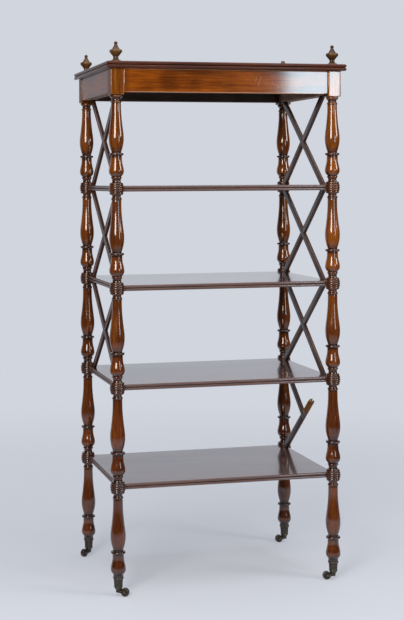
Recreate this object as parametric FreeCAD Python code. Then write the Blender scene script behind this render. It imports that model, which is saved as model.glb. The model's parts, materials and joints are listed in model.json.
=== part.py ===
"""A mahogany whatnot: four shelves on turned uprights, a moulded top on a frieze, crossed side bars,
urn finials and brass socket castors.

Millimetres, +Z up. The origin is on the floor at the centre of the plan, the front faces -Y and the left
side is -X. Each piece is one solid in its own node, apart from the castor screws, which share a node, and
the riveted axle that stays with each castor horn.
"""

import FreeCAD, Part
import math
import os

# Plan and levels of the whole piece
POST_SPACING_X = 600.0
POST_SPACING_Y = 376.0
SHELF_COUNT = 4
SHELF_PITCH = 260.0
LOWEST_SHELF = 284.0
RING_BELOW_SHELF = 170.0

# Top board and shelves, with two half-round reeds along every edge
TOP_SURFACE = 1395.0
TOP_THICKNESS = 18.0
TOP_OVERHANG = 30.0
TOP_REED_DEPTH = 3.5
SHELF_THICKNESS = 15.0
SHELF_REED_DEPTH = 3.0
SHELF_CORNER_RADIUS = 12.0

# Frieze: square blocks on the uprights, and four rails tenoned into them
BLOCK_WIDTH = 36.0
BLOCK_HEIGHT = 68.0
RAIL_HEIGHT = 62.0
RAIL_SETBACK = 1.5
LONG_RAIL_THICKNESS = 22.0
SIDE_RAIL_THICKNESS = 32.0
TENON_LENGTH = 12.0
TENON_THICKNESS = 8.0
TENON_SHOULDER = 8.0
LONG_TENON_OUTWARD = 5.5

# Turned sections. Heights in the vases are taken from the ring between them.
LONG_VASE = (
    (136.0, 12.8),
    (116.0, 13.1),
    (93.0, 14.7),
    (69.0, 17.4),
    (45.0, 19.9),
    (21.0, 17.5),
    (6.0, 13.0),
)
TOP_VASE_START = (130.0, 12.9)
SMALL_VASE = (
    (-7.0, 14.7),
    (-20.0, 15.4),
    (-33.0, 18.3),
    (-42.5, 19.8),
    (-51.0, 18.2),
    (-57.5, 13.4),
)
RING_RADIUS = 19.4
RING_HALF_HEIGHT = 3.2
RING_ROUNDING = 2.4
NECK_RADIUS = 11.4
FILLET_RADIUS = 12.5
COLLAR_RADIUS = 14.2
COLLAR_HALF_HEIGHT = 3.0
COLLAR_UNDER_KNOP = 26.7
COLLAR_OVER_KNOP = 29.0
BLOCK_BEAD_RADIUS = 16.6
BLOCK_BEAD_HEIGHT = 8.0
BLOCK_BEAD_TOP_RADIUS = 14.5
BLOCK_BEAD_FOOT_RADIUS = 13.5
BLOCK_COLLAR_DROP = 19.0

# Reeded knops that hold the shelves, and the spigots that join the sections inside them
KNOP_RADIUS = 20.4
KNOP_HALF_HEIGHT = 16.0
KNOP_CROWN = 3.6
KNOP_REEDS = 5
KNOP_REED_DEPTH = 1.5
KNOP_SHOULDER_RADIUS = 12.6
SPIGOT_RADIUS = 7.0
SPIGOT_RISE = 9.0
GLUE_GAP = 0.1
END_GAP = 0.5

# Crossed side bars, halved where they cross, with stub tenons in the boards
BAR_WIDTH = 17.0
BAR_THICKNESS = 8.0
BAR_INSET = 10.5
BAR_END_Y = 148.0
BAR_TENON = (5.0, 12.0, 4.0)
CROSSES = {"left": 3, "right": 4}
BROKEN_CROSS = ("right", 4)
BROKEN_BAR_SHARE = 0.735
BROKEN_PRONG = 14.0

# Ragged line of the break: place across the bar in widths, and how far it falls short in prongs
SPLINTERS = ((-1.2, 1.0), (-0.5, 0.4), (-0.3, 0.2), (-0.05, 1.0), (0.25, 0.0), (0.5, 0.3), (1.2, 1.0))

# Finials, with heights above the top board
FINIAL_HEIGHT = 53.0
FINIAL_FOOT_RADIUS = 14.2
FINIAL_FOOT_TOP_RADIUS = 13.2
FINIAL_FOOT_HEIGHT = 3.2
FINIAL_SEAT_DEPTH = 1.0
FINIAL_STEM_RADIUS = 6.9
FINIAL_STEM_FOOT = 9.6
FINIAL_COVE_RADIUS = 7.9
FINIAL_BOWL = ((13.0, 6.9), (19.0, 11.8), (24.5, 16.2), (28.0, 16.8), (31.0, 15.0))
FINIAL_LID = ((32.2, 10.8), (36.5, 7.7), (41.0, 5.4))
FINIAL_BALL_RADIUS = 4.8
FINIAL_BALL_NECK = 3.4
FINIAL_PEG_RADIUS = 5.0
FINIAL_PEG_LENGTH = 31.0
BROKEN_FINIAL = "back_right"
BROKEN_FINIAL_HEIGHT = 43.5
BROKEN_FINIAL_TILT = 14.0

# Castors, with the wheel trailing along +X before each is turned to its heading
CASTOR_HEADINGS = {"front_left": -35.0, "front_right": 180.0, "back_left": 215.0, "back_right": 190.0}
WHEEL_RADIUS = 11.0
WHEEL_HALF_WIDTH = 4.9
WHEEL_EDGE = 1.4
WHEEL_DISH = 0.9
WHEEL_RIM_RADIUS = 8.4
WHEEL_HUB_RADIUS = 4.0
AXLE_RADIUS = 1.9
AXLE_HEAD_RADIUS = 2.9
AXLE_HEAD_HEIGHT = 1.0
RUNNING_GAP = 0.05
CASTOR_TRAIL = 19.0
CHEEK_INNER = 5.4
CHEEK_THICKNESS = 2.2
CHEEK_END_RADIUS = 4.6
CHEEK_ROOT_RADIUS = 3.4
HORN_BOSS_RADIUS = 6.5
HORN_BOSS_BOTTOM = 8.5
HORN_FLANGE_RADIUS = 9.0
HORN_FLANGE_BOTTOM = 17.4
HORN_FLANGE_TOP = 20.2
SWIVEL_GAP = 0.3
STEM_RADIUS = 4.0
STEM_HEAD_RADIUS = 6.2
STEM_HEAD_HEIGHT = 1.7
SOCKET_TOP = 49.0
SOCKET_COLLAR_HEIGHT = 5.0
SOCKET_COLLAR_RADIUS = 14.4
SOCKET_RIM_RADIUS = 13.2
SOCKET_SHOULDER_RADIUS = 12.2
SOCKET_FOOT_RADIUS = 10.6
SOCKET_PLATE = 3.5
LEG_PIN_TOP_RADIUS = 10.0
LEG_PIN_END_RADIUS = 8.3
LEG_PIN_END = 26.6
LEG_FOOT_RADIUS = 13.4
SCREW_HEIGHT = 38.0
SCREW_ANGLES = (60.0, 240.0)
SCREW_HEAD_RADIUS = 2.0
SCREW_HEAD_SPAN = (11.0, 12.5)
SCREW_SHANK_RADIUS = 1.0
SCREW_TIP = 4.0
SCREW_SLOT = (0.5, 0.5)

# Levels and places that follow from the driving dimensions
SHELF_LEVELS = [LOWEST_SHELF + SHELF_PITCH * (SHELF_COUNT - 1 - i) for i in range(SHELF_COUNT)]
KNOP_LEVELS = [SHELF_LEVELS[0] + SHELF_PITCH] + SHELF_LEVELS
TOP_UNDERSIDE = TOP_SURFACE - TOP_THICKNESS
BLOCK_BOTTOM = TOP_UNDERSIDE - BLOCK_HEIGHT
RAIL_BOTTOM = TOP_UNDERSIDE - RAIL_HEIGHT
SOCKET_BOTTOM = HORN_FLANGE_TOP + SWIVEL_GAP
CORNERS = {
    "front_left": (-POST_SPACING_X / 2, -POST_SPACING_Y / 2),
    "front_right": (POST_SPACING_X / 2, -POST_SPACING_Y / 2),
    "back_left": (-POST_SPACING_X / 2, POST_SPACING_Y / 2),
    "back_right": (POST_SPACING_X / 2, POST_SPACING_Y / 2),
}
UP = FreeCAD.Vector(0, 0, 1)
ORIGIN = FreeCAD.Vector(0, 0, 0)
SAME_POINT = 1e-6


def single(shape):
    """The one solid of a shape, with its split faces joined."""
    solids = shape.removeSplitter().Solids
    if len(solids) != 1:
        raise ValueError(f"expected one solid and found {len(solids)}")
    return solids[0]


def block(low, high):
    """A box between two corners."""
    return Part.makeBox(*(b - a for a, b in zip(low, high)), FreeCAD.Vector(*low))


def rod(radius, low, high, place=(0.0, 0.0)):
    """An upright cylinder between two heights."""
    return Part.makeCylinder(radius, high - low, FreeCAD.Vector(place[0], place[1], low))


class Outline:
    """Half the outline of a turned piece, followed from the axis at its top to the axis at its foot."""

    def __init__(self, height):
        self.top = FreeCAD.Vector(0, 0, height)
        self.tip = self.top
        self.edges = []

    def line(self, radius, height):
        end = FreeCAD.Vector(radius, 0, height)
        if not end.isEqual(self.tip, SAME_POINT):
            self.edges.append(Part.LineSegment(self.tip, end).toShape())
            self.tip = end
        return self

    def arc(self, middle, end):
        through = FreeCAD.Vector(middle[0], 0, middle[1])
        end = FreeCAD.Vector(end[0], 0, end[1])
        self.edges.append(Part.Arc(self.tip, through, end).toShape())
        self.tip = end
        return self

    def curve(self, points):
        spline = Part.BSplineCurve()
        spline.interpolate([FreeCAD.Vector(radius, 0, height) for height, radius in points])
        self.edges.append(spline.toShape())
        self.tip = FreeCAD.Vector(points[-1][1], 0, points[-1][0])
        return self

    def turned(self):
        self.edges.append(Part.LineSegment(self.tip, self.top).toShape())
        return single(Part.Face(Part.Wire(self.edges)).revolve(ORIGIN, UP, 360))


def above(level, points):
    """Points of an outline whose heights are taken from a level."""
    return [(level + height, radius) for height, radius in points]


def bead(outline, centre, radius):
    """A half-round collar at a height, from one fillet to the next."""
    outline.line(FILLET_RADIUS, centre + COLLAR_HALF_HEIGHT)
    outline.arc((radius, centre), (FILLET_RADIUS, centre - COLLAR_HALF_HEIGHT))


def ring_and_vases(outline, ring, vase_start):
    """The long vase, the ring under it and the small vase."""
    outline.line(vase_start[1], ring + vase_start[0])
    outline.curve(above(ring, (vase_start,) + LONG_VASE[1:]))
    outline.line(LONG_VASE[-1][1], ring + RING_HALF_HEIGHT)
    outline.line(RING_RADIUS - RING_ROUNDING, ring + RING_HALF_HEIGHT)
    outline.arc((RING_RADIUS, ring), (RING_RADIUS - RING_ROUNDING, ring - RING_HALF_HEIGHT))
    outline.line(SMALL_VASE[0][1], ring - RING_HALF_HEIGHT)
    outline.line(SMALL_VASE[0][1], ring + SMALL_VASE[0][0])
    outline.curve(above(ring, SMALL_VASE))


def knop(outline, level):
    """A reeded barrel centred on a shelf, reached by a cove from the collar above it."""
    def barrel(height):
        return KNOP_RADIUS - KNOP_CROWN * (height / KNOP_HALF_HEIGHT) ** 2

    bead(outline, level + COLLAR_OVER_KNOP, COLLAR_RADIUS)
    cove = (level + outline.tip.z + KNOP_HALF_HEIGHT) / 2
    outline.arc((NECK_RADIUS, cove), (KNOP_SHOULDER_RADIUS, level + KNOP_HALF_HEIGHT))
    outline.line(barrel(KNOP_HALF_HEIGHT) - KNOP_REED_DEPTH, level + KNOP_HALF_HEIGHT)
    reed = 2 * KNOP_HALF_HEIGHT / KNOP_REEDS
    for i in range(KNOP_REEDS):
        crest = KNOP_HALF_HEIGHT - (i + 0.5) * reed
        groove = crest - reed / 2
        outline.arc((barrel(crest), level + crest), (barrel(groove) - KNOP_REED_DEPTH, level + groove))
    outline.line(0, level - KNOP_HALF_HEIGHT)


def spigot_and_neck(level):
    """The head of a section: a spigot up into the knop at a level, then the neck and collar under it."""
    joint = level - KNOP_HALF_HEIGHT
    outline = Outline(level + SPIGOT_RISE)
    outline.line(SPIGOT_RADIUS, level + SPIGOT_RISE)
    outline.line(SPIGOT_RADIUS, joint)
    outline.line(KNOP_SHOULDER_RADIUS, joint)
    collar = level - COLLAR_UNDER_KNOP
    cove = (joint + collar + COLLAR_HALF_HEIGHT) / 2
    outline.arc((NECK_RADIUS, cove), (FILLET_RADIUS, collar + COLLAR_HALF_HEIGHT))
    bead(outline, collar, COLLAR_RADIUS)
    return outline


def turned_top_section():
    """The top section: a square block for the rails, then the turned part down to the first knop."""
    ring = KNOP_LEVELS[0] - RING_BELOW_SHELF
    outline = Outline(BLOCK_BOTTOM)
    outline.line(BLOCK_BEAD_TOP_RADIUS, BLOCK_BOTTOM)
    bead_end = BLOCK_BOTTOM - BLOCK_BEAD_HEIGHT
    bead_middle = BLOCK_BOTTOM - BLOCK_BEAD_HEIGHT / 2
    outline.arc((BLOCK_BEAD_RADIUS, bead_middle), (BLOCK_BEAD_FOOT_RADIUS, bead_end))
    collar = BLOCK_BOTTOM - BLOCK_COLLAR_DROP
    cove = (bead_end + collar + COLLAR_HALF_HEIGHT) / 2
    outline.arc((NECK_RADIUS, cove), (FILLET_RADIUS, collar + COLLAR_HALF_HEIGHT))
    bead(outline, collar, COLLAR_RADIUS)
    ring_and_vases(outline, ring, TOP_VASE_START)
    knop(outline, KNOP_LEVELS[1])
    half = BLOCK_WIDTH / 2
    square = block((-half, -half, BLOCK_BOTTOM), (half, half, TOP_UNDERSIDE))
    return single(outline.turned().fuse(square))


def turned_section(number):
    """A section between two knops, counted from the top."""
    outline = spigot_and_neck(KNOP_LEVELS[number - 1])
    ring_and_vases(outline, KNOP_LEVELS[number - 1] - RING_BELOW_SHELF, LONG_VASE[0])
    knop(outline, KNOP_LEVELS[number])
    return outline.turned()


def turned_leg():
    """The leg: a section whose foot is a tapered pin for the castor socket."""
    outline = spigot_and_neck(KNOP_LEVELS[-1])
    ring_and_vases(outline, KNOP_LEVELS[-1] - RING_BELOW_SHELF, LONG_VASE[0])
    outline.line(LEG_FOOT_RADIUS, SOCKET_TOP)
    outline.line(LEG_PIN_TOP_RADIUS, SOCKET_TOP)
    outline.line(LEG_PIN_END_RADIUS, LEG_PIN_END)
    outline.line(0, LEG_PIN_END)
    return outline.turned()


def edge_section(length, thickness, reed_depth, base):
    """The cross-section of a board in the XZ plane, with two reeds at each end, as a face."""
    flat = length / 2 - reed_depth
    reed = thickness / 2
    edges = []

    def corner(side, height):
        return FreeCAD.Vector(side * flat, 0, base + height)

    def crest(side, height):
        return FreeCAD.Vector(side * length / 2, 0, base + height)

    for side in (1, -1):
        for low in (0, reed):
            ends = corner(side, low), corner(side, low + reed)
            edges.append(Part.Arc(ends[0], crest(side, low + reed / 2), ends[1]).toShape())
    for height in (0, thickness):
        edges.append(Part.LineSegment(corner(-1, height), corner(1, height)).toShape())
    return Part.Face(Part.Wire(Part.__sortEdges__(edges)))


def reeded_board(width, depth, thickness, reed_depth, base):
    """A board whose reeds run along all four edges and meet in mitres at the corners."""
    along_y = edge_section(width, thickness, reed_depth, base)
    along_y.translate(FreeCAD.Vector(0, -depth / 2, 0))
    along_x = edge_section(depth, thickness, reed_depth, base)
    along_x.rotate(ORIGIN, UP, 90)
    along_x.translate(FreeCAD.Vector(-width / 2, 0, 0))
    run_y = along_y.extrude(FreeCAD.Vector(0, depth, 0))
    run_x = along_x.extrude(FreeCAD.Vector(width, 0, 0))
    return single(run_y.common(run_x))


def shelf(level):
    """A shelf whose corners are hollowed round the cores of the uprights."""
    base = level - SHELF_THICKNESS / 2
    board = reeded_board(POST_SPACING_X, POST_SPACING_Y, SHELF_THICKNESS, SHELF_REED_DEPTH, base)
    for place in CORNERS.values():
        board = board.cut(rod(SHELF_CORNER_RADIUS, base, base + SHELF_THICKNESS, place))
    return single(board)


def top_board():
    """The top, bored for the finials' pegs with a shallow seat round each."""
    width = POST_SPACING_X + 2 * TOP_OVERHANG
    depth = POST_SPACING_Y + 2 * TOP_OVERHANG
    board = reeded_board(width, depth, TOP_THICKNESS, TOP_REED_DEPTH, TOP_UNDERSIDE)
    for place in CORNERS.values():
        board = board.cut(rod(FINIAL_PEG_RADIUS, TOP_UNDERSIDE, TOP_SURFACE, place))
        board = board.cut(rod(FINIAL_FOOT_RADIUS, TOP_SURFACE - FINIAL_SEAT_DEPTH, TOP_SURFACE, place))
    return single(board)


def rail(length, thickness, spacing, tenon_outward):
    """A rail along X whose outer face looks to -Y, with a tenon at each end."""
    outer = -(spacing / 2 + BLOCK_WIDTH / 2 - RAIL_SETBACK)
    half = length / 2 - BLOCK_WIDTH / 2
    body = block((-half, outer, RAIL_BOTTOM), (half, outer + thickness, TOP_UNDERSIDE))
    middle = -(spacing / 2 + tenon_outward)
    reach = half + TENON_LENGTH
    tenon = block(
        (-reach, middle - TENON_THICKNESS / 2, RAIL_BOTTOM + TENON_SHOULDER),
        (reach, middle + TENON_THICKNESS / 2, TOP_UNDERSIDE - TENON_SHOULDER),
    )
    return single(body.fuse(tenon))


def rails():
    """The four rails of the frieze."""
    front = rail(POST_SPACING_X, LONG_RAIL_THICKNESS, POST_SPACING_Y, LONG_TENON_OUTWARD)
    right = rail(POST_SPACING_Y, SIDE_RAIL_THICKNESS, POST_SPACING_X, 0.0).rotated(ORIGIN, UP, 90)
    return {
        "front_rail": front,
        "back_rail": front.rotated(ORIGIN, UP, 180),
        "right_rail": right,
        "left_rail": right.rotated(ORIGIN, UP, 180),
    }


def bar_outline(low, high, rising):
    """Corners of a slanting bar in the YZ plane, cut level at both ends."""
    rise = high - low
    run = 2 * BAR_END_Y
    half = BAR_WIDTH / 2 * math.hypot(rise, run) / rise
    foot = BAR_END_Y if rising else -BAR_END_Y
    return [(foot - half, low), (foot + half, low), (-foot + half, high), (-foot - half, high)]


def slab(outline, low_x, high_x):
    """A plate with an outline in the YZ plane."""
    points = [FreeCAD.Vector(low_x, y, z) for y, z in outline]
    face = Part.Face(Part.makePolygon(points + points[:1]))
    return face.extrude(FreeCAD.Vector(high_x - low_x, 0, 0))


def bar_tenon(middle_x, foot_y, board_face, side):
    """A stub tenon that stands into a board from its face, upwards or downwards."""
    thick, wide, deep = BAR_TENON
    ends = sorted((board_face, board_face + side * deep))
    low = (middle_x - thick / 2, foot_y - wide / 2, ends[0])
    high = (middle_x + thick / 2, foot_y + wide / 2, ends[1])
    return block(low, high)


def splintered_end(low, high, middle_x):
    """What the broken rising bar has lost: all past a ragged line across it."""
    start = FreeCAD.Vector(0, BAR_END_Y, low)
    along = FreeCAD.Vector(0, -2 * BAR_END_Y, high - low)
    reach = BROKEN_BAR_SHARE * along.Length
    clear = along.Length + 2 * BAR_WIDTH
    along.normalize()
    across = FreeCAD.Vector(0, -along.z, along.y)
    ragged = [(reach - back * BROKEN_PRONG, side * BAR_WIDTH) for side, back in SPLINTERS]
    ragged += [(clear, SPLINTERS[-1][0] * BAR_WIDTH), (clear, SPLINTERS[0][0] * BAR_WIDTH)]
    points = [start + along * far + across * side for far, side in ragged]
    return slab([(p.y, p.z) for p in points], middle_x - BAR_THICKNESS, middle_x + BAR_THICKNESS)


def cross(side, number):
    """The two bars of one cross: each is halved over the other and has a stub tenon at each end."""
    middle = (POST_SPACING_X / 2 - BAR_INSET) * (-1 if side == "left" else 1)
    low = SHELF_LEVELS[number - 1] + SHELF_THICKNESS / 2
    high = SHELF_LEVELS[number - 2] - SHELF_THICKNESS / 2 if number > 1 else RAIL_BOTTOM
    left, right = middle - BAR_THICKNESS / 2, middle + BAR_THICKNESS / 2
    outlines = {"rising": bar_outline(low, high, True), "falling": bar_outline(low, high, False)}
    bars = {
        "rising": slab(outlines["rising"], left, right).cut(slab(outlines["falling"], left, middle)),
        "falling": slab(outlines["falling"], left, right).cut(slab(outlines["rising"], middle, right)),
    }
    for name, foot in (("rising", BAR_END_Y), ("falling", -BAR_END_Y)):
        bars[name] = bars[name].fuse(bar_tenon(middle, foot, low, -1))
        bars[name] = bars[name].fuse(bar_tenon(middle, -foot, high, 1))
    if (side, number) == BROKEN_CROSS:
        front = -2 * BAR_END_Y
        past_crossing = [
            outlines["rising"][0],
            outlines["rising"][3],
            (front, high),
            (front, low - SHELF_THICKNESS),
        ]
        bars["falling"] = bars["falling"].cut(slab(past_crossing, left, right))
        bars["rising"] = bars["rising"].cut(splintered_end(low, high, middle))
    return {f"{side}_bar_{number}_{name}": single(bar) for name, bar in bars.items()}


def finial():
    """A whole finial with its foot in the seat and its peg below it."""
    outline = Outline(TOP_SURFACE + FINIAL_HEIGHT)
    ball = TOP_SURFACE + FINIAL_HEIGHT - FINIAL_BALL_RADIUS
    ball_foot = ball - math.sqrt(FINIAL_BALL_RADIUS ** 2 - FINIAL_BALL_NECK ** 2)
    outline.arc((FINIAL_BALL_RADIUS, ball), (FINIAL_BALL_NECK, ball_foot))
    outline.line(FINIAL_LID[-1][1], TOP_SURFACE + FINIAL_LID[-1][0])
    outline.curve(above(TOP_SURFACE, FINIAL_LID[::-1]))
    outline.line(FINIAL_BOWL[-1][1], TOP_SURFACE + FINIAL_BOWL[-1][0])
    outline.curve(above(TOP_SURFACE, FINIAL_BOWL[::-1]))
    stem_foot = TOP_SURFACE + FINIAL_STEM_FOOT
    outline.line(FINIAL_STEM_RADIUS, stem_foot)
    foot_top = TOP_SURFACE + FINIAL_FOOT_HEIGHT
    outline.arc((FINIAL_COVE_RADIUS, (stem_foot + foot_top) / 2), (FINIAL_FOOT_TOP_RADIUS, foot_top))
    outline.line(FINIAL_FOOT_RADIUS, TOP_SURFACE + FINIAL_FOOT_HEIGHT / 2)
    outline.line(FINIAL_FOOT_RADIUS, TOP_SURFACE - FINIAL_SEAT_DEPTH)
    outline.line(FINIAL_PEG_RADIUS - GLUE_GAP, TOP_SURFACE - FINIAL_SEAT_DEPTH)
    outline.line(FINIAL_PEG_RADIUS - GLUE_GAP, TOP_SURFACE - FINIAL_PEG_LENGTH)
    outline.line(0, TOP_SURFACE - FINIAL_PEG_LENGTH)
    return outline.turned()


def broken_finial(whole):
    """A finial snapped off just under its ball, along a slanting line."""
    gone = block((-FINIAL_HEIGHT, -FINIAL_HEIGHT, 0), (FINIAL_HEIGHT, FINIAL_HEIGHT, FINIAL_HEIGHT))
    gone.rotate(ORIGIN, FreeCAD.Vector(0, 1, 0), BROKEN_FINIAL_TILT)
    gone.translate(FreeCAD.Vector(0, 0, TOP_SURFACE + BROKEN_FINIAL_HEIGHT))
    return single(whole.cut(gone))


def castor_socket():
    """A brass cup on the leg's pin, with a plate at its foot for the swivel stem."""
    outline = Outline(SOCKET_TOP)
    collar_foot = SOCKET_TOP - SOCKET_COLLAR_HEIGHT
    outline.line(SOCKET_RIM_RADIUS, SOCKET_TOP)
    middle = (SOCKET_COLLAR_RADIUS, SOCKET_TOP - SOCKET_COLLAR_HEIGHT / 2)
    outline.arc(middle, (SOCKET_SHOULDER_RADIUS, collar_foot))
    outline.line(SOCKET_FOOT_RADIUS, SOCKET_BOTTOM)
    outline.line(0, SOCKET_BOTTOM)
    cup = outline.turned()
    inside = Outline(SOCKET_TOP)
    inside.line(LEG_PIN_TOP_RADIUS + GLUE_GAP, SOCKET_TOP)
    inside.line(LEG_PIN_END_RADIUS + GLUE_GAP, LEG_PIN_END)
    inside.line(LEG_PIN_END_RADIUS + GLUE_GAP, SOCKET_BOTTOM + SOCKET_PLATE)
    inside.line(0, SOCKET_BOTTOM + SOCKET_PLATE)
    hole = rod(STEM_RADIUS + RUNNING_GAP, SOCKET_BOTTOM, SOCKET_BOTTOM + SOCKET_PLATE)
    return single(cup.cut(inside.turned()).cut(hole))


def link_plate(root, root_radius, end, end_radius, low_y, high_y):
    """A flat link between two round ends, in the XZ plane."""
    run, rise = end[0] - root[0], end[1] - root[1]
    slope = math.atan2(rise, run)
    wrap = math.acos((root_radius - end_radius) / math.hypot(run, rise))

    def rim(centre, radius, angle):
        across, up = radius * math.cos(angle), radius * math.sin(angle)
        return FreeCAD.Vector(centre[0] + across, low_y, centre[1] + up)

    root_rim = [rim(root, root_radius, slope + turn) for turn in (wrap, math.pi, -wrap)]
    end_rim = [rim(end, end_radius, slope + turn) for turn in (-wrap, 0.0, wrap)]
    edges = [
        Part.Arc(*root_rim).toShape(),
        Part.LineSegment(root_rim[2], end_rim[0]).toShape(),
        Part.Arc(*end_rim).toShape(),
        Part.LineSegment(end_rim[2], root_rim[0]).toShape(),
    ]
    return Part.Face(Part.Wire(edges)).extrude(FreeCAD.Vector(0, high_y - low_y, 0))


def cross_rod(radius, low_y, high_y):
    """A cylinder along the wheel's axle."""
    foot = FreeCAD.Vector(CASTOR_TRAIL, low_y, WHEEL_RADIUS)
    return Part.makeCylinder(radius, high_y - low_y, foot, FreeCAD.Vector(0, 1, 0))


def castor_axle():
    """The axle, riveted over both cheeks."""
    outer = CHEEK_INNER + CHEEK_THICKNESS
    axle = cross_rod(AXLE_RADIUS, -outer, outer)
    for low in (-outer - AXLE_HEAD_HEIGHT, outer):
        axle = axle.fuse(cross_rod(AXLE_HEAD_RADIUS, low, low + AXLE_HEAD_HEIGHT))
    return single(axle)


def castor_horn(axle):
    """The horn: a riveted stem, a flange, a boss and two cheeks that reach back to the axle."""
    stem_top = SOCKET_BOTTOM + SOCKET_PLATE + SWIVEL_GAP
    horn = rod(STEM_RADIUS, HORN_FLANGE_TOP, stem_top)
    horn = horn.fuse(rod(STEM_HEAD_RADIUS, stem_top, stem_top + STEM_HEAD_HEIGHT))
    horn = horn.fuse(rod(HORN_FLANGE_RADIUS, HORN_FLANGE_BOTTOM, HORN_FLANGE_TOP))
    horn = horn.fuse(rod(HORN_BOSS_RADIUS, HORN_BOSS_BOTTOM, HORN_FLANGE_BOTTOM))
    root = (0.0, HORN_FLANGE_BOTTOM - CHEEK_ROOT_RADIUS)
    end = (CASTOR_TRAIL, WHEEL_RADIUS)
    for low in (CHEEK_INNER, -CHEEK_INNER - CHEEK_THICKNESS):
        cheek = link_plate(root, CHEEK_ROOT_RADIUS, end, CHEEK_END_RADIUS, low, low + CHEEK_THICKNESS)
        horn = horn.fuse(cheek)
    return single(horn.cut(axle))


def castor_wheel():
    """A small brass wheel with dished sides and rounded edges, bored for the axle."""
    half = WHEEL_HALF_WIDTH
    outline = Outline(half)
    outline.line(WHEEL_HUB_RADIUS, half)
    outline.line(WHEEL_HUB_RADIUS + WHEEL_DISH, half - WHEEL_DISH)
    outline.line(WHEEL_RIM_RADIUS - WHEEL_DISH, half - WHEEL_DISH)
    outline.line(WHEEL_RIM_RADIUS, half)
    outline.line(WHEEL_RADIUS - WHEEL_EDGE, half)
    bend = WHEEL_EDGE * (1 - math.sqrt(0.5))
    outline.arc((WHEEL_RADIUS - bend, half - bend), (WHEEL_RADIUS, half - WHEEL_EDGE))
    outline.line(WHEEL_RADIUS, WHEEL_EDGE - half)
    outline.arc((WHEEL_RADIUS - bend, bend - half), (WHEEL_RADIUS - WHEEL_EDGE, -half))
    outline.line(WHEEL_RIM_RADIUS, -half)
    outline.line(WHEEL_RIM_RADIUS - WHEEL_DISH, WHEEL_DISH - half)
    outline.line(WHEEL_HUB_RADIUS + WHEEL_DISH, WHEEL_DISH - half)
    outline.line(WHEEL_HUB_RADIUS, -half)
    outline.line(0, -half)
    wheel = outline.turned()
    wheel.rotate(ORIGIN, FreeCAD.Vector(1, 0, 0), 90)
    wheel.translate(FreeCAD.Vector(CASTOR_TRAIL, 0, WHEEL_RADIUS))
    return single(wheel.cut(cross_rod(AXLE_RADIUS + RUNNING_GAP, -half, half)))


def castor_screw(angle):
    """A slotted screw that stands through the socket's wall into the leg's pin."""
    out = FreeCAD.Vector(1, 0, 0)
    inner, outer = SCREW_HEAD_SPAN
    slot_wide, slot_deep = SCREW_SLOT
    shank = Part.makeCylinder(SCREW_SHANK_RADIUS, inner - SCREW_TIP, FreeCAD.Vector(SCREW_TIP, 0, 0), out)
    head = Part.makeCylinder(SCREW_HEAD_RADIUS, outer - inner, FreeCAD.Vector(inner, 0, 0), out)
    slot = block(
        (outer - slot_deep, -SCREW_HEAD_RADIUS, -slot_wide / 2),
        (outer, SCREW_HEAD_RADIUS, slot_wide / 2),
    )
    screw = shank.fuse(head).cut(slot)
    screw.translate(FreeCAD.Vector(0, 0, SCREW_HEIGHT))
    return single(screw.rotated(ORIGIN, UP, angle))


def placed(shape, place, heading=0.0):
    """A copy of a shape turned about the upright axis and moved to a corner."""
    return shape.rotated(ORIGIN, UP, heading).translated(FreeCAD.Vector(place[0], place[1], 0))


def cut_by(shape, tools):
    """A solid with other pieces cut out of it."""
    return single(shape.cut(list(tools)))


def all_pieces():
    """Every node by name."""
    nodes = {}
    frieze = rails()
    shelves = {f"shelf_{i + 1}": shelf(level) for i, level in enumerate(SHELF_LEVELS)}
    for side, count in CROSSES.items():
        for number in range(1, count + 1):
            nodes.update(cross(side, number))
    bars = list(nodes.values())
    sections = [turned_top_section()] + [turned_section(n) for n in range(2, SHELF_COUNT + 1)]
    leg, socket, wheel, axle = turned_leg(), castor_socket(), castor_wheel(), castor_axle()
    horn = castor_horn(axle)
    whole_finial = finial()
    screws = []
    for corner, place in CORNERS.items():
        own_screws = [placed(castor_screw(angle), place) for angle in SCREW_ANGLES]
        screws += own_screws
        for i, section in enumerate(sections):
            level = KNOP_LEVELS[i + 1]
            bore_top = level + SPIGOT_RISE + END_GAP
            bore = rod(SPIGOT_RADIUS + GLUE_GAP, level - KNOP_HALF_HEIGHT, bore_top, place)
            fitted = [shelves[f"shelf_{i + 1}"], bore]
            if i == 0:
                fitted += list(frieze.values())
                peg_end = TOP_SURFACE - FINIAL_PEG_LENGTH - END_GAP
                fitted.append(rod(FINIAL_PEG_RADIUS, peg_end, TOP_UNDERSIDE, place))
            nodes[f"{corner}_post_{i + 1}"] = cut_by(placed(section, place), fitted)
        nodes[f"{corner}_leg"] = cut_by(placed(leg, place), own_screws)
        snapped = corner == BROKEN_FINIAL
        nodes[f"{corner}_finial"] = placed(broken_finial(whole_finial) if snapped else whole_finial, place)
        heading = CASTOR_HEADINGS[corner]
        fork = [placed(piece, place, heading) for piece in (horn, axle)]
        nodes[f"{corner}_castor_socket"] = cut_by(placed(socket, place), own_screws)
        nodes[f"{corner}_castor_horn"] = Part.makeCompound(fork)
        nodes[f"{corner}_castor_wheel"] = placed(wheel, place, heading)
    nodes["castor_screws"] = Part.makeCompound(screws)
    nodes["top_board"] = top_board()
    for name, board in {**shelves, **frieze}.items():
        nodes[name] = cut_by(board, bars)
    return nodes


def main():
    os.makedirs("parts", exist_ok=True)
    for name, shape in all_pieces().items():
        shape.exportStep(f"parts/{name}.step")


main()
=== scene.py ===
"""A mahogany whatnot, dressed for display: polished turned uprights, reeded boards, a figured frieze,
crossed side bars with one splintered end, urn finials and tarnished brass castors, on a pale studio floor.

Metres, +Z up, with the front towards -Y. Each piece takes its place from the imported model's nodes. The
tables of outlines and small sizes are in millimetres, as a turner would mark them on a rod.
"""

import json
import math
import random

import bmesh
import bpy
import numpy as np
from bpy.props import FloatProperty, FloatVectorProperty, IntProperty, PointerProperty
from mathutils import Euler, Matrix, Vector


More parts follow.
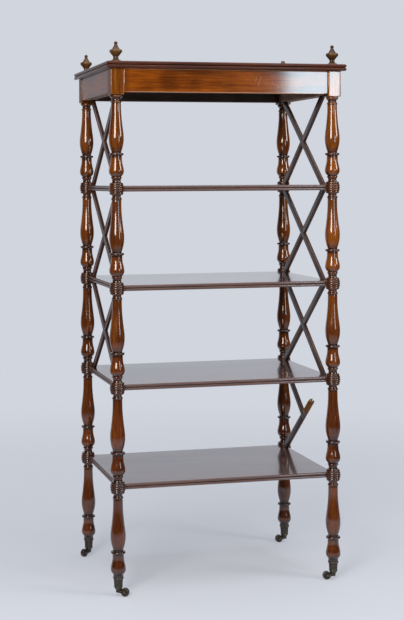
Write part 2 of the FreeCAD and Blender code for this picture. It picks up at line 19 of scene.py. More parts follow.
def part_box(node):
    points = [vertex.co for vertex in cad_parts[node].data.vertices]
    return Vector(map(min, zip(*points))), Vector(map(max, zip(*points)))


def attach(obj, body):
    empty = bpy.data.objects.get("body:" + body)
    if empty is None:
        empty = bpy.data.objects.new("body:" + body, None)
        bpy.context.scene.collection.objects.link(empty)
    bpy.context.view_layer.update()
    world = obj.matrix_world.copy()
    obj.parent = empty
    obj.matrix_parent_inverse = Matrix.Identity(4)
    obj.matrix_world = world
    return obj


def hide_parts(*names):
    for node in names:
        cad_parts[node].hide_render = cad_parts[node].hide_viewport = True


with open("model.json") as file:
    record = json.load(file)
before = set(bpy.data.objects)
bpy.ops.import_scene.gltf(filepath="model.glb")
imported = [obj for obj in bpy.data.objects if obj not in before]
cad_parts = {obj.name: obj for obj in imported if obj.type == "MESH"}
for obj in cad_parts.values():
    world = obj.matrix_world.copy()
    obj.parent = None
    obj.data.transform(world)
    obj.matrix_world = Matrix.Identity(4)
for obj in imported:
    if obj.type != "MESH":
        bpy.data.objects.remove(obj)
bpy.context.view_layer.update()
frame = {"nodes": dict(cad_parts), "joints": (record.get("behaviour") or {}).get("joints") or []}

bl_info = {
    "name": "Mahogany whatnot",
    "version": (1, 0, 0),
    "blender": (4, 5, 0),
    "location": "View3D > Sidebar > Whatnot",
    "description": "Dresses the packed whatnot in polished wood and brass and sets it on a studio floor",
    "category": "Object",
}

MM = 0.001
CORNERS = ("front_left", "front_right", "back_left", "back_right")
SHELVES = 4
ROOT_BODY = "frame"

# Edges: the angles past which they are shaded sharp, rounded on a bar and rounded on a cheek, the angle
# below which faces are joined, the segments of a rounding, and the cosine within which a face looks one way
SHARP_ANGLE = math.radians(32)
CRISP_ANGLE = math.radians(20)
RIM_ANGLE = math.radians(60)
FLAT_ANGLE = math.radians(1)
BLOCK_SEGMENTS = 5
ARRIS_SEGMENTS = 3
FINE_SEGMENTS = 2
FACING = 0.9

# Turned uprights, in millimetres. Vase heights are taken from the ring between the two vases.
LONG_VASE = (
    (136.0, 12.8), (116.0, 13.1), (93.0, 14.7), (69.0, 17.4), (45.0, 19.9), (21.0, 17.5), (6.0, 13.0))
TOP_VASE_START = (130.0, 12.9)
SMALL_VASE = ((-7.0, 14.7), (-20.0, 15.4), (-33.0, 18.3), (-42.5, 19.8), (-51.0, 18.2), (-57.5, 13.4))
RING_BELOW_KNOP = 170.0
RING_RADIUS = 19.4
RING_HALF_HEIGHT = 3.2
RING_ROUNDING = 2.4
NECK_RADIUS = 11.4
FILLET_RADIUS = 12.5
COLLAR_RADIUS = 14.2
COLLAR_HALF_HEIGHT = 3.0
COLLAR_UNDER_KNOP = 26.7
COLLAR_OVER_KNOP = 29.0
KNOP_RADIUS = 20.4
KNOP_HALF_HEIGHT = 16.0
KNOP_CROWN = 3.6
KNOP_REEDS = 5
KNOP_REED_DEPTH = 1.5
KNOP_SHOULDER_RADIUS = 12.6
BLOCK_WIDTH = 36.0
BLOCK_HEIGHT = 68.0
BLOCK_BEAD_RADII = (14.5, 16.6, 13.5)
BLOCK_BEAD_HEIGHT = 8.0
BLOCK_COLLAR_DROP = 19.0
LEG_FOOT_RADIUS = 13.4

# Turning: the circle in metres that an outline is swept along, the gap in millimetres that is welded, the
# fewest steps of an arc, and the shares of the turning step that small pieces are turned with
ARBOR = 0.05
LATHE_WELD = 0.004
LEAST_ARC_STEPS = 5
FINIAL_FINENESS = 0.6
CASTOR_FINENESS = 0.5
RIVET_FINENESS = 0.25

# Dust with painted shade, and wear with painted highlight, from 1 in a groove to -1 on a crest. Hollows are
# judged over two reaches along an outline, each with the depth that counts as full, both in millimetres.
HOLLOW_SCALES = ((2.2, 0.9), (7.0, 5.0))
HOLLOW_LIMITS = (-0.6, 0.8)
LEAST_RADIUS = 5.0
# Stretches of the uprights painted darker: the knops with dust and painted shade, the rest with painted
# shade
DARKENING_FADE = 6.0
KNOP_DUST_AND_SHADE = 0.50
RING_SHADE = 0.58
TOP_NECK_SHADE = 0.30
VASE_FOOT_SHADE = 0.42
VASE_FOOT_HEIGHT = 6.5
LEG_FOOT_SHADE = 0.85
# The rails darken towards their ends, over a reach in millimetres
RAIL_END_DARKENING = 0.55
RAIL_END_REACH = 22.0
# Arrises, their bands and the boards' lips are painted pale: rubbed polish and painted highlight
RUBBED_AND_LIT_ARRIS = -0.8
RUBBED_AND_LIT_BAND = 1.6
RUBBED_AND_LIT_LIP = -0.3
# Reed grooves and their borders are painted dark: dust and painted shade
GROOVE_DUST_AND_SHADE = 2.0
BORDER_DUST_AND_SHADE = 0.7

# Woods: scales of their patterns per metre, stretches along the grain, relief in millimetres, the heights
# in metres over which the uprights lose their painted low shade, the ranges that patterns are mapped from,
# the shares that darken or lighten a tone, some being painted shade, and what stripes and dust add to the
# blur
LONG_GRAIN = 0.045
SHORT_GRAIN = 0.16
FIBRE_SCALE = 620.0
PORE_SCALE = 1500.0
CLOUD_SCALE = 9.0
SWELL_SCALE = 300.0
PORE_SOIL = 0.45
BAND_SHARE = 0.55
GRAIN_RELIEF = 0.1
GRAIN_BUMP = 0.2
FIBRE_RELIEF = 0.3
FRIEZE_RIPPLE = 0.025
LOW_SHADE_HEIGHTS = (0.15, 1.15)
FIGURE_RANGE = (0.36, 0.64)
FIBRE_RANGE = (0.30, 0.70)
FIBRE_TONES = (0.84, 1.14)
PORE_RANGE = (0.60, 0.70)
CLOUD_RANGE = (0.32, 0.68)
CLOUD_DIP = 1.2
CLOUD_RISE = 0.8
DUST_AND_SHADE_RANGE = (0.05, 0.8)
# Crests are painted pale with the next three: rubbed polish and painted highlight
WEAR_AND_SHEEN_RANGE = (-0.05, -0.9)
WORN_AND_LIT_GAIN = 1.3
WORN_AND_LIT_LIFT = 0.03
STRIPE_BLUR = 0.18
DUST_BLUR = 0.25
# The frieze's side rails are painted darker by this share: painted shade
SIDE_SHADE_SHARE = 0.6
BARE_DARK_SHARE = 0.6
# Shares of the frieze's inner and under faces for the long and the side rails: unpolished wood with painted
# shade
BARE_SHADE_SHARES = (1.0, 4.2)
STRIPPED_DARK_SHARE = 0.4

# Brass: scales of its tarnish per metre, ranges with what they are mapped to, and its relief in millimetres
PATCH_SCALE = 260.0
PATCH_RANGE = (0.35, 0.75, 0.0, 0.6)
SPECK_SCALE = 1700.0
SPECK_RANGE = (0.58, 0.78, 0.0, 0.4)
SPECK_TONE = (0.02, 0.022, 0.016)
SPECK_RELIEF = 0.2
SPECK_BUMP = 0.25
BRASS_HOLLOWS = 0.30
BRASS_BLUR = (0.0, 1.0, 0.56, 0.34)

# Scratches on the frieze, in millimetres right of its middle and below its top
FRIEZE_SCRATCHES = (
    ((92.0, 17.0), (83.0, 43.0)),
    ((80.0, 19.0), (76.5, 30.0)),
    ((124.0, 32.0), (126.0, 38.0)),
    ((139.0, 41.0), (141.0, 48.0)),
)
SCRATCH_WIDTH = 0.8
SCRATCH_TONE = (0.62, 0.46, 0.30)
SCRATCH_DEPTH = 0.4

# Stretch of the frieze, in millimetres right of its middle, where the wood darkens to a share of its tone
FRIEZE_DARKENS = (50.0, 170.0)
FRIEZE_DARK_SHARE = 0.58

# Reeds along the boards' edges, in millimetres
TOP_REED_DEPTH = 3.5
SHELF_REED_DEPTH = 3.0
REED_STEPS = 8
EDGE_BORDER = 9.0
EDGE_LIP = 0.25
LEAST_MITRE = 0.15
MITRE_TAPER = 0.3
MITRE_STEPS = 5
SHELF_HOLLOW_RADIUS = 18.6
SHELF_HOLLOW_STEPS = 14
BOARD_WELD = 0.002

# Crossed bars, in millimetres, with the places along the broken one as shares of its length
BAR_WIDTH = 17.0
BAR_END_Y = 148.0
BAR_RISE = 240.0
BROKEN_BAR = "right_bar_4"
STRIPPED = 0.555
BREAK_START = 0.675
BREAK_END = 0.737

# The torn end: fibres each way, prongs (place across, width, height), and shares of the tear's height
FIBRES_ACROSS = 20
FIBRES_DEEP = 8
PRONGS = ((0.62, 0.26, 1.0), (-0.55, 0.30, 0.72))
TEAR_FIELD = 0.22
TEAR_RAGGED = 0.28
TEAR_PITS = 0.12
TEAR_LEAST = 0.06
TEAR_SEED = 11

# Finials, in millimetres above the top board
FINIAL_HEIGHT = 53.0
FINIAL_FOOT = ((14.2, 0.0), (14.2, 1.6), (13.2, 3.2))
FINIAL_STEM_RADIUS = 6.9
FINIAL_STEM_FOOT = 9.6
FINIAL_COVE_RADIUS = 7.9
FINIAL_BOWL = ((13.0, 6.9), (19.0, 11.8), (24.5, 16.2), (28.0, 16.8), (31.0, 15.0))
FINIAL_LID = ((32.2, 10.8), (36.5, 7.7), (41.0, 5.4))
FINIAL_BALL_RADIUS = 4.8
FINIAL_BALL_NECK = 3.4
BROKEN_FINIAL = "back_right"
BROKEN_FINIAL_HEIGHT = 43.5
BROKEN_FINIAL_TILT = math.radians(14)

# Castor outlines as (radius, height) in millimetres. A point ends a line, and a pair is an arc through its
# first point to its second. The wheel and the rivet are given from the hub, before they are laid down.
SOCKET_TOP = 49.0
SOCKET_OUTLINE = (
    (12.6, SOCKET_TOP), ((14.4, 46.8), (12.6, 44.4)), (12.1, 44.0), (10.9, 25.0), (11.3, 24.4),
    ((11.5, 23.6), (11.2, 22.8)), (10.6, 21.2), (10.2, 20.5))
FLANGE_BOTTOM = 17.4
HORN_OUTLINE = (
    (4.0, 20.5), (4.0, 20.2), (8.3, 20.2), ((9.0, 18.8), (8.1, FLANGE_BOTTOM)), (6.5, 16.6), (6.5, 9.7),
    ((6.1, 8.9), (5.3, 8.5)))
WHEEL_RADIUS = 11.0
WHEEL_OUTLINE = (
    (3.6, 4.9), ((4.2, 4.7), (4.6, 4.0)), (7.4, 4.0), ((8.1, 4.3), (8.5, 4.9)), (9.6, 4.9),
    ((10.6, 4.5), (WHEEL_RADIUS, 3.5)), (WHEEL_RADIUS, -3.5), ((10.6, -4.5), (9.6, -4.9)), (8.5, -4.9),
    ((8.1, -4.3), (7.4, -4.0)), (4.6, -4.0), ((4.2, -4.7), (3.6, -4.9)))
RIVET_OUTLINE = ((0.0, 8.6), ((2.175, 8.3), (2.9, 7.6)))
CASTOR_FACETS = 56
HORN_FACETS = 48
RIVET_FACETS = 28

# Castor cheeks and screws, in millimetres. The wheel trails along +X until it is turned to its heading. The
# rings of a screw's head are shares of its radius and its rise.
CASTOR_TRAIL = 19.0
CHEEK_INNER = 5.4
CHEEK_THICKNESS = 2.2
CHEEK_END_RADIUS = 4.6
CHEEK_ROOT_RADIUS = 3.4
CHEEK_STEPS = 14
CHEEK_ARRIS = 0.45
SCREW_HEIGHT = 38.0
SCREW_ANGLES = (60.0, 240.0)
SCREW_SEAT = 11.0
SCREW_HEAD_RADIUS = 2.0
SCREW_HEAD_RISE = 1.5
SCREW_HEAD_STEPS = 10
SCREW_HEAD_RINGS = ((1.0, 0.0), (1.0, 0.8), (0.85, 1.0))
SCREW_SLOT_HALF_WIDTH = 0.28
SCREW_SLOT_DEPTH = 0.5
SCREW_TURN_SEED = 5

# Studio, in metres, with the sensor in millimetres: the floor, the part of the back that is lit, and each
# lamp's place, width, height and tint
FLOOR_RADIUS = 4.0
FLOOR_FADE = (0.5, 2.8)
FLOOR_SEGMENTS = 96
LIT_BACK = (0.50, 0.85)
EVEN_TINT = (0.92, 0.96, 1.04)
AIM = (0.0, 0.0, 1.05)
SENSOR = 36.0
COOL_LIGHT = (0.70, 0.88, 1.0)
WARM_LIGHT = (1.0, 0.92, 0.84)
PLAIN_LIGHT = (1.0, 1.0, 1.0)
LAMPS = {
    "left_softbox": ((-1.95, -2.70, 2.05), 1.15, 1.5, WARM_LIGHT),
    "right_softbox": ((2.81, -1.90, 2.15), 1.0, 1.3, WARM_LIGHT),
    "lit_card": ((1.34, -2.85, 1.20), 0.34, 1.0, COOL_LIGHT),
    "top_softbox": ((0.0, -0.35, 3.0), 2.6, 2.2, PLAIN_LIGHT),
}


def tone(name, description, colour):
    return FloatVectorProperty(
        name=name, description=description, default=colour, subtype="COLOR", min=0, max=1)


def small_length(name, description, size):
    """A length that is given in millimetres."""
    return FloatProperty(
        name=name, description=description, default=size * MM, min=0.1 * MM, max=5 * MM, unit="LENGTH")


def fraction(name, description, part):
    return FloatProperty(name=name, description=description, default=part, min=0, max=1, subtype="FACTOR")


def wattage(name, description, watts):
    return FloatProperty(name=name, description=description, default=watts, min=0, unit="POWER")


class WhatnotSizes(bpy.types.PropertyGroup):
    """Sizes that set how fine and how worn the pieces look."""

    facets: IntProperty(name="Facets", description="Faces round a turned piece", default=72, min=24, max=128)
    turning_step: small_length("Turning step", "Longest step along a turned outline", 1.1)
    arris: small_length("Arris", "Rounding of the squared edges", 0.9)
    bar_arris: small_length("Bar arris", "Rounding of the crossed bars' edges", 0.7)
    mitre: small_length("Mitre", "Rounding of the top board's corners", 1.6)
    rail_arris: small_length("Rail arris", "Rounding of the frieze's edges", 1.3)
    block_arris: small_length("Block arris", "Rounding of the corner blocks' upright edges", 2.4)


class WhatnotFinish(bpy.types.PropertyGroup):
    """Colours of the woods and the brass."""

    turned_light: tone("Turned light", "Pale figure of the turned uprights", (0.222, 0.061, 0.005))
    turned_dark: tone("Turned dark", "Dark figure of the turned uprights", (0.090, 0.0205, 0.0033))
    block_light: tone("Block light", "Pale figure of the corner blocks", (0.290, 0.090, 0.006))
    block_dark: tone("Block dark", "Dark figure of the corner blocks", (0.100, 0.022, 0.004))
    frieze_light: tone("Frieze light", "Pale figure of the frieze", (0.300, 0.074, 0.003))
    frieze_dark: tone("Frieze dark", "Dark figure of the frieze", (0.134, 0.028, 0.002))
    board_light: tone("Board light", "Pale figure of the top and shelves", (0.085, 0.027, 0.016))
    board_dark: tone("Board dark", "Dark figure of the top and shelves", (0.038, 0.011, 0.008))
    top_edge_light: tone("Top edge light", "Pale figure of the top's reeded edge", (0.076, 0.018, 0.006))
    top_edge_dark: tone("Top edge dark", "Dark figure of the top's reeded edge", (0.032, 0.009, 0.005))
    edge_light: tone("Edge light", "Pale figure of the shelves' reeded edges", (0.100, 0.052, 0.044))
    edge_dark: tone("Edge dark", "Dark figure of the shelves' reeded edges", (0.048, 0.022, 0.018))
    bar_light: tone("Bar light", "Pale figure of the crossed bars", (0.085, 0.038, 0.025))
    bar_dark: tone("Bar dark", "Dark figure of the crossed bars", (0.033, 0.0135, 0.009))
    finial_light: tone("Finial light", "Pale figure of the finials", (0.130, 0.058, 0.012))
    finial_dark: tone("Finial dark", "Dark figure of the finials", (0.040, 0.017, 0.005))
    # The frieze's pale edge lines: rubbed polish and a painted highlight
    rubbed_and_lit_edge: tone("Rubbed edge", "Frieze's edges, rubbed through the polish", (0.48, 0.25, 0.14))
    stripped_wood: tone("Stripped wood", "Wood of the broken bar without its polish", (0.340, 0.130, 0.028))
    torn_wood: tone("Torn wood", "Fresh fibres in the breaks", (0.45, 0.31, 0.13))
    # Grime is old polish and dust in the pores and hollows; in the hollows it is also painted shade
    grime_and_shade: tone("Grime", "Old polish and dust in the hollows", (0.010, 0.0045, 0.0035))
    # Unpolished wood on the inner and under faces, darkened as painted shade
    bare_and_shaded_inside: tone("Bare inside", "Unpolished wood on the frieze's inner faces", (0.098, 0.060, 0.042))
    # Painted shade: this tint darkens and reddens the uprights' lower ends, where less light falls
    low_painted_shade: tone("Low tint", "Tint of the darker polish on the uprights' lower ends", (0.56, 0.475, 0.74))
    brass_bright: tone("Brass bright", "Rubbed brass on the castors", (0.165, 0.140, 0.102))
    brass_dull: tone("Brass dull", "Tarnish on the castors", (0.068, 0.061, 0.052))


class WhatnotStudio(bpy.types.PropertyGroup):
    """The floor, the lights and the camera."""

    backdrop: tone("Backdrop", "Colour behind the object and in its reflections", (0.638, 0.665, 0.730))
    floor: tone("Floor", "Colour of the floor", (0.632, 0.665, 0.740))
    floor_glow: fraction("Floor glow", "Share of the floor's look that takes no shadow", 0.45)
    ambient: fraction("Ambient", "Even light from all round", 0.30)
    room: fraction("Room", "Brightness of the room behind the camera, against the backdrop", 0.035)
    left_softbox: wattage("Left softbox", "Power of the softbox left of the camera", 82.0)
    right_softbox: wattage("Right softbox", "Power of the softbox right of the camera", 44.0)
    lit_card: wattage("Lit card", "Power of the small card that the frieze mirrors", 12.4)
    top_softbox: wattage("Top softbox", "Power of the softbox overhead", 48.0)
    lens: FloatProperty(
        name="Lens", description="Focal length on a 36 mm long side", default=75.4, min=20, max=200,
        unit="CAMERA")
    camera_place: FloatVectorProperty(
        name="Camera place", description="Where the camera stands", subtype="XYZ", unit="LENGTH",
        default=(-1.0690, -3.4816, 1.0896))
    camera_turn: FloatVectorProperty(
        name="Camera turn", description="Yaw to the right, pitch up and roll", subtype="EULER",
        unit="ROTATION", default=(0.2236, -0.0149, 0.0050))
    camera_shift: FloatVectorProperty(
        name="Camera shift", description="Sideways and upward shift of the picture", size=2,
        default=(0.15, -0.18))


class Wiring:
    """Adds nodes to one tree and joins them by socket name or number."""

    def __init__(self, tree):
        self.tree = tree

    def feed(self, socket, value):
        """Links a socket to another, or gives it a value of its own."""
        if isinstance(value, bpy.types.NodeSocket):
            self.tree.links.new(value, socket)
        elif socket.type == "RGBA":
            socket.default_value = (*value, 1.0)
        else:
            socket.default_value = value

    def fill(self, node, values):
        for socket, value in values.items():
            self.feed(node.inputs[socket], value)

    def add(self, kind, values=None, **settings):
        node = self.tree.nodes.new(kind)
        for key, value in settings.items():
            setattr(node, key, value)
        self.fill(node, values or {})
        return node

    def result(self, kind, values=None, output=0, **settings):
        """One output of a new node."""
        return self.add(kind, values, **settings).outputs[output]

    def mix(self, factor, first, second, blend="MIX"):
        """A colour between two colours."""
        return self.result(
            "ShaderNodeMix", {0: factor, 6: first, 7: second}, 2, data_type="RGBA", blend_type=blend)

    def math(self, operation, first, second, clamp=False):
        return self.result("ShaderNodeMath", {0: first, 1: second}, operation=operation, use_clamp=clamp)

    def vector(self, operation, values, output="Vector"):
        return self.result("ShaderNodeVectorMath", values, output, operation=operation)

    def scaled(self, colour, factor):
        return self.vector("SCALE", {0: colour, "Scale": factor})

    def remap(self, value, low, high, to_low=0.0, to_high=1.0):
        """A value moved smoothly from one range to another."""
        return self.result(
            "ShaderNodeMapRange",
            {"Value": value, "From Min": low, "From Max": high, "To Min": to_low, "To Max": to_high},
            interpolation_type="SMOOTHSTEP")

    def noise(self, vector, scale, detail=2.0, roughness=0.5, distortion=0.0):
        return self.result("ShaderNodeTexNoise", {
            "Vector": vector, "Scale": scale, "Detail": detail, "Roughness": roughness,
            "Distortion": distortion})

    def stretched(self, vector, axis, share):
        """A place that draws a pattern out along one axis."""
        scale = tuple(share if i == axis else 1.0 for i in range(3))
        return self.result("ShaderNodeMapping", {"Vector": vector, "Scale": scale})

    def place(self):
        return self.result("ShaderNodeTexCoord", output="Object")

    def part(self, vector, letter):
        """One coordinate of a vector."""
        return self.result("ShaderNodeSeparateXYZ", {0: vector}, letter)

    def hollow(self):
        return self.result("ShaderNodeAttribute", output="Fac", attribute_name="hollow")

    def bump(self, height, strength, distance):
        return self.result("ShaderNodeBump", {"Strength": strength, "Distance": distance, "Height": height})

    def sight(self):
        """1 for rays that show a surface, straight, mirrored or through glass, and 1 for mirrored ones."""
        path = self.add("ShaderNodeLightPath").outputs
        seen = self.math("MAXIMUM", path["Is Camera Ray"], path["Is Glossy Ray"])
        return self.math("MAXIMUM", seen, path["Is Transmission Ray"]), path["Is Glossy Ray"]


def new_finish(name):
    """An empty material with its shader, and the wiring to fill it."""
    material = bpy.data.materials.new(name)
    material.use_nodes = True
    return material, Wiring(material.node_tree), material.node_tree.nodes["Principled BSDF"]


def shaded(colour, share):
    return tuple(share * channel for channel in colour)


def scratch(wire, place, start, end):
    """A mask along a straight scratch between two points."""
    run = Vector(end) - Vector(start)
    from_start = wire.vector("SUBTRACT", {0: place, 1: start})
    along = wire.vector("DOT_PRODUCT", {0: from_start, 1: run}, "Value")
    nearest = wire.scaled(run, wire.math("DIVIDE", along, run.length_squared, True))
    gap = wire.vector("DISTANCE", {0: from_start, 1: nearest}, "Value")
    return wire.remap(gap, SCRATCH_WIDTH * MM, 0.0)


# The dust share darkens hollows with dust and painted shade; the rubbed share pales crests with rubbed
# polish and painted highlight
def mahogany(name, light, dark, axis=2, turn=0.0, band=150.0, ribbon=26.0, mottle=0.15, polish=1.0,
             polish_blur=0.16, polish_index=1.52, ripple=0.0, wood_gloss=0.03, wood_blur=0.40, dust=0.86,
             rubbed=0.12, rubbed_and_lit_tone=None, low_painted_shade=None, darkens=None, scratches=()):
    """Figured wood under polish. The grain runs along an axis, after a turn about X."""
    material, wire, shader = new_finish(name)
    grime_and_shade = bpy.context.scene.whatnot_finish.grime_and_shade
    place = wire.place()
    laid = wire.result("ShaderNodeMapping", {"Vector": place, "Rotation": (turn, 0.0, 0.0)})
    long_grain = wire.stretched(laid, axis, LONG_GRAIN)
    bands = wire.noise(long_grain, band, detail=5.0, roughness=0.6, distortion=0.4)
    stripes = wire.noise(wire.stretched(laid, axis, SHORT_GRAIN), ribbon, distortion=0.3)
    fibres = wire.noise(long_grain, FIBRE_SCALE, roughness=0.6)
    pores = wire.remap(wire.noise(long_grain, PORE_SCALE, detail=1.0), *PORE_RANGE)
    cloud = wire.noise(laid, CLOUD_SCALE)
    figure = wire.math("ADD", wire.math("MULTIPLY", bands, BAND_SHARE),
                       wire.math("MULTIPLY", stripes, 1.0 - BAND_SHARE))
    colour = wire.mix(wire.remap(figure, *FIGURE_RANGE), dark, light)
    colour = wire.scaled(colour, wire.remap(fibres, *FIBRE_RANGE, *FIBRE_TONES))
    mottled = (1.0 - CLOUD_DIP * mottle, 1.0 + CLOUD_RISE * mottle)
    colour = wire.scaled(colour, wire.remap(cloud, *CLOUD_RANGE, *mottled))
    colour = wire.mix(wire.math("MULTIPLY", pores, PORE_SOIL), colour, grime_and_shade)
    # Painted shade: the uprights darken and redden towards their lower ends
    if low_painted_shade is not None:
        low_shaded = wire.mix(1.0, colour, low_painted_shade, "MULTIPLY")
        colour = wire.mix(wire.remap(wire.part(place, "Z"), *LOW_SHADE_HEIGHTS), low_shaded, colour)
    if darkens is not None:
        start, end = shaded(darkens, MM)
        colour = wire.scaled(colour, wire.remap(wire.part(place, "X"), start, end, 1.0, FRIEZE_DARK_SHARE))
    # Hollows darken towards grime, which is dust and painted shade; crests pale, which is rubbed polish and
    # painted highlight
    hollow = wire.hollow()
    dust_and_shade = wire.math("MULTIPLY", wire.remap(hollow, *DUST_AND_SHADE_RANGE), dust)
    brightened = wire.math("MULTIPLY", wire.remap(hollow, *WEAR_AND_SHEEN_RANGE), rubbed)
    pale = rubbed_and_lit_tone or tuple(min(1.0, WORN_AND_LIT_GAIN * channel + WORN_AND_LIT_LIFT) for channel in light)
    colour = wire.mix(brightened, wire.mix(dust_and_shade, colour, grime_and_shade), pale)
    for start, end in scratches:
        worn_through = wire.math("MULTIPLY", scratch(wire, place, start, end), SCRATCH_DEPTH)
        colour = wire.mix(worn_through, colour, SCRATCH_TONE)
    striped = wire.math("MULTIPLY", wire.math("SUBTRACT", stripes, 0.5), STRIPE_BLUR)
    blur = wire.math("ADD", wood_blur, striped)
    relief = wire.math("SUBTRACT", wire.math("MULTIPLY", fibres, FIBRE_RELIEF), pores)
    wire.fill(shader, {
        "Base Color": colour, "Roughness": wire.math("ADD", blur, wire.math("MULTIPLY", dust_and_shade, DUST_BLUR)),
        "Normal": wire.bump(relief, GRAIN_BUMP, GRAIN_RELIEF * MM), "Specular IOR Level": wood_gloss,
        "Coat Weight": polish, "Coat Roughness": polish_blur, "Coat IOR": polish_index})
    if ripple:
        wire.fill(shader, {"Coat Normal": wire.bump(wire.noise(laid, SWELL_SCALE), 1.0, ripple * MM)})
    return material


def brass(name, bright, dull):
    """Tarnished brass, rubbed bright on its edges."""
    material, wire, shader = new_finish(name)
    place = wire.place()
    patches = wire.noise(place, PATCH_SCALE, detail=4.0, roughness=0.6)
    specks = wire.noise(place, SPECK_SCALE, roughness=0.6)
    rubbed = wire.remap(patches, *PATCH_RANGE)
    brightened = wire.math("SUBTRACT", rubbed, wire.math("MULTIPLY", wire.hollow(), BRASS_HOLLOWS), True)
    speckled = wire.remap(specks, *SPECK_RANGE)
    wire.fill(shader, {
        "Base Color": wire.mix(speckled, wire.mix(brightened, dull, bright), SPECK_TONE), "Metallic": 1.0,
        "Roughness": wire.remap(brightened, *BRASS_BLUR),
        "Normal": wire.bump(specks, SPECK_BUMP, SPECK_RELIEF * MM)})
    return material


class Profile:
    """Half the outline of a turned piece in millimetres, from the axis at its top to the axis below."""

    def __init__(self, height, step):
        self.points = [(0.0, height)]
        self.step = step
        self.darkened_stretches = []

    def line(self, radius, height):
        start = np.array(self.points[-1])
        end = np.array((radius, height))
        if not np.allclose(start, end):
            count = math.ceil(np.linalg.norm(end - start) / self.step)
            self.points += [tuple(start + (end - start) * i / count) for i in range(1, count + 1)]

    def arc(self, middle, end):
        """A circular arc through a middle point."""
        first, halfway, last = (complex(*point) for point in (self.points[-1], middle, end))
        ratio = (last - first) / (halfway - first)
        centre = (halfway - first) * (ratio - abs(ratio) ** 2) / (2j * ratio.imag) + first
        start = first - centre
        part, sweep = (np.angle((point - centre) / start) % math.tau for point in (halfway, last))
        if part > sweep:
            sweep -= math.tau
        count = max(LEAST_ARC_STEPS, math.ceil(abs(sweep) * abs(start) / self.step))
        path = centre + start * np.exp(1j * sweep * np.arange(1, count + 1) / count)
        self.points += zip(path.real.tolist(), path.imag.tolist())

    def curve(self, points):
        """A natural spline through (height, radius) points that go down."""
        heights, radii = np.array(points[::-1]).T
        gaps = np.diff(heights)
        slopes = np.diff(radii) / gaps
        system = np.diag(2 * (gaps[:-1] + gaps[1:])) + np.diag(gaps[1:-1], 1) + np.diag(gaps[1:-1], -1)
        bends = np.concatenate(([0], np.linalg.solve(system, 6 * np.diff(slopes)), [0]))
        count = math.ceil((heights[-1] - heights[0]) / self.step)
        path = np.linspace(heights[-1], heights[0], count + 1)[1:]
        i = np.clip(np.searchsorted(heights, path) - 1, 0, len(gaps) - 1)
        low, high, gap = path - heights[i], heights[i + 1] - path, gaps[i]
        radius = (bends[i] * high ** 3 + bends[i + 1] * low ** 3) / (6 * gap)
        radius += (radii[i] / gap - bends[i] * gap / 6) * high
        radius += (radii[i + 1] / gap - bends[i + 1] * gap / 6) * low
        self.points += zip(radius.tolist(), path.tolist())

    def darken_stretch(self, low, high, amount):
        """Marks a stretch painted darker: dust and old polish on the knops, painted shade throughout."""
        self.darkened_stretches.append((low, high, amount))

    def hollows(self):
        """How deep each point lies among its neighbours."""
        radii, heights = np.array(self.points).T
        runs = np.hypot(np.gradient(radii), np.gradient(heights)) + 1e-6
        depth = np.zeros(len(radii))
        for reach, full_depth in HOLLOW_SCALES:
            near = np.exp(-((heights[:, None] - heights) / reach) ** 2) * runs * (radii > LEAST_RADIUS)
            around = (near * radii).sum(1) / np.maximum(near.sum(1), 1e-9)
            depth += np.clip((around - radii) / full_depth, *HOLLOW_LIMITS)
        # Stretches marked darker: dust and painted shade
        for low, high, amount in self.darkened_stretches:
            outside = np.maximum(np.maximum(low - heights, heights - high), 0.0)
            depth += np.exp(-(outside / DARKENING_FADE) ** 2) * np.maximum(amount - depth, 0.0)
        return np.clip(depth, -1.0, 1.0)


def traced(outline, step):
    """A profile from an outline of points and arcs."""
    profile = Profile(outline[0][1], step)
    for stretch in outline:
        if isinstance(stretch[0], tuple):
            profile.arc(*stretch)
        else:
            profile.line(*stretch)
    profile.line(0.0, profile.points[-1][1])
    return profile


def socket_id(tree, name):
    """Identifier of a tree's named input."""
    for item in tree.interface.items_tree:
        if item.item_type == "SOCKET" and item.in_out == "INPUT" and item.name == name:
            return item.identifier
    raise KeyError(name)


def new_tree(name, inputs):
    """A geometry tree with a geometry input and output and the named inputs."""
    tree = bpy.data.node_groups.new(name, "GeometryNodeTree")
    tree.interface.new_socket("Geometry", in_out="OUTPUT", socket_type="NodeSocketGeometry")
    for label, kind in {"Geometry": "Geometry", **inputs, "Finish": "Material"}.items():
        tree.interface.new_socket(label, in_out="INPUT", socket_type="NodeSocket" + kind)
    wire = Wiring(tree)
    return tree, wire, wire.add("NodeGroupInput").outputs


def end_tree(wire, given, geometry):
    """Ends a geometry tree with a plain mesh in its finish."""
    real = wire.result("GeometryNodeRealizeInstances", {0: geometry})
    finished = wire.result("GeometryNodeSetMaterial", {"Geometry": real, "Material": given["Finish"]})
    wire.add("NodeGroupOutput", {"Geometry": finished})


def lathe_tree():
    """Sweeps a profile round an upright axis, then turns the axis and moves it into place."""
    if "lathe" in bpy.data.node_groups:
        return bpy.data.node_groups["lathe"]
    tree, wire, given = new_tree("lathe", {
        "Facets": "Int", "Arbor": "Float", "Turn": "Rotation", "Place": "Vector"})
    profile = wire.result("GeometryNodeMeshToCurve", {0: given["Geometry"]})
    arbor = wire.result(
        "GeometryNodeCurvePrimitiveCircle", {"Resolution": given["Facets"], "Radius": given["Arbor"]})
    skin = wire.result("GeometryNodeCurveToMesh", {"Curve": arbor, "Profile Curve": profile})
    closed = wire.result("GeometryNodeMergeByDistance", {"Geometry": skin, "Distance": LATHE_WELD * MM})
    moved = wire.result("GeometryNodeTransform", {
        "Geometry": closed, "Rotation": given["Turn"], "Translation": given["Place"]})
    end_tree(wire, given, moved)
    return tree


def linked(name, data):
    """A new object in the scene."""
    thing = bpy.data.objects.new(name, data)
    bpy.context.scene.collection.objects.link(thing)
    return thing


def evaluated(carrier):
    """The plain mesh that an object's modifiers make."""
    graph = bpy.context.evaluated_depsgraph_get()
    return bpy.data.meshes.new_from_object(carrier.evaluated_get(graph))


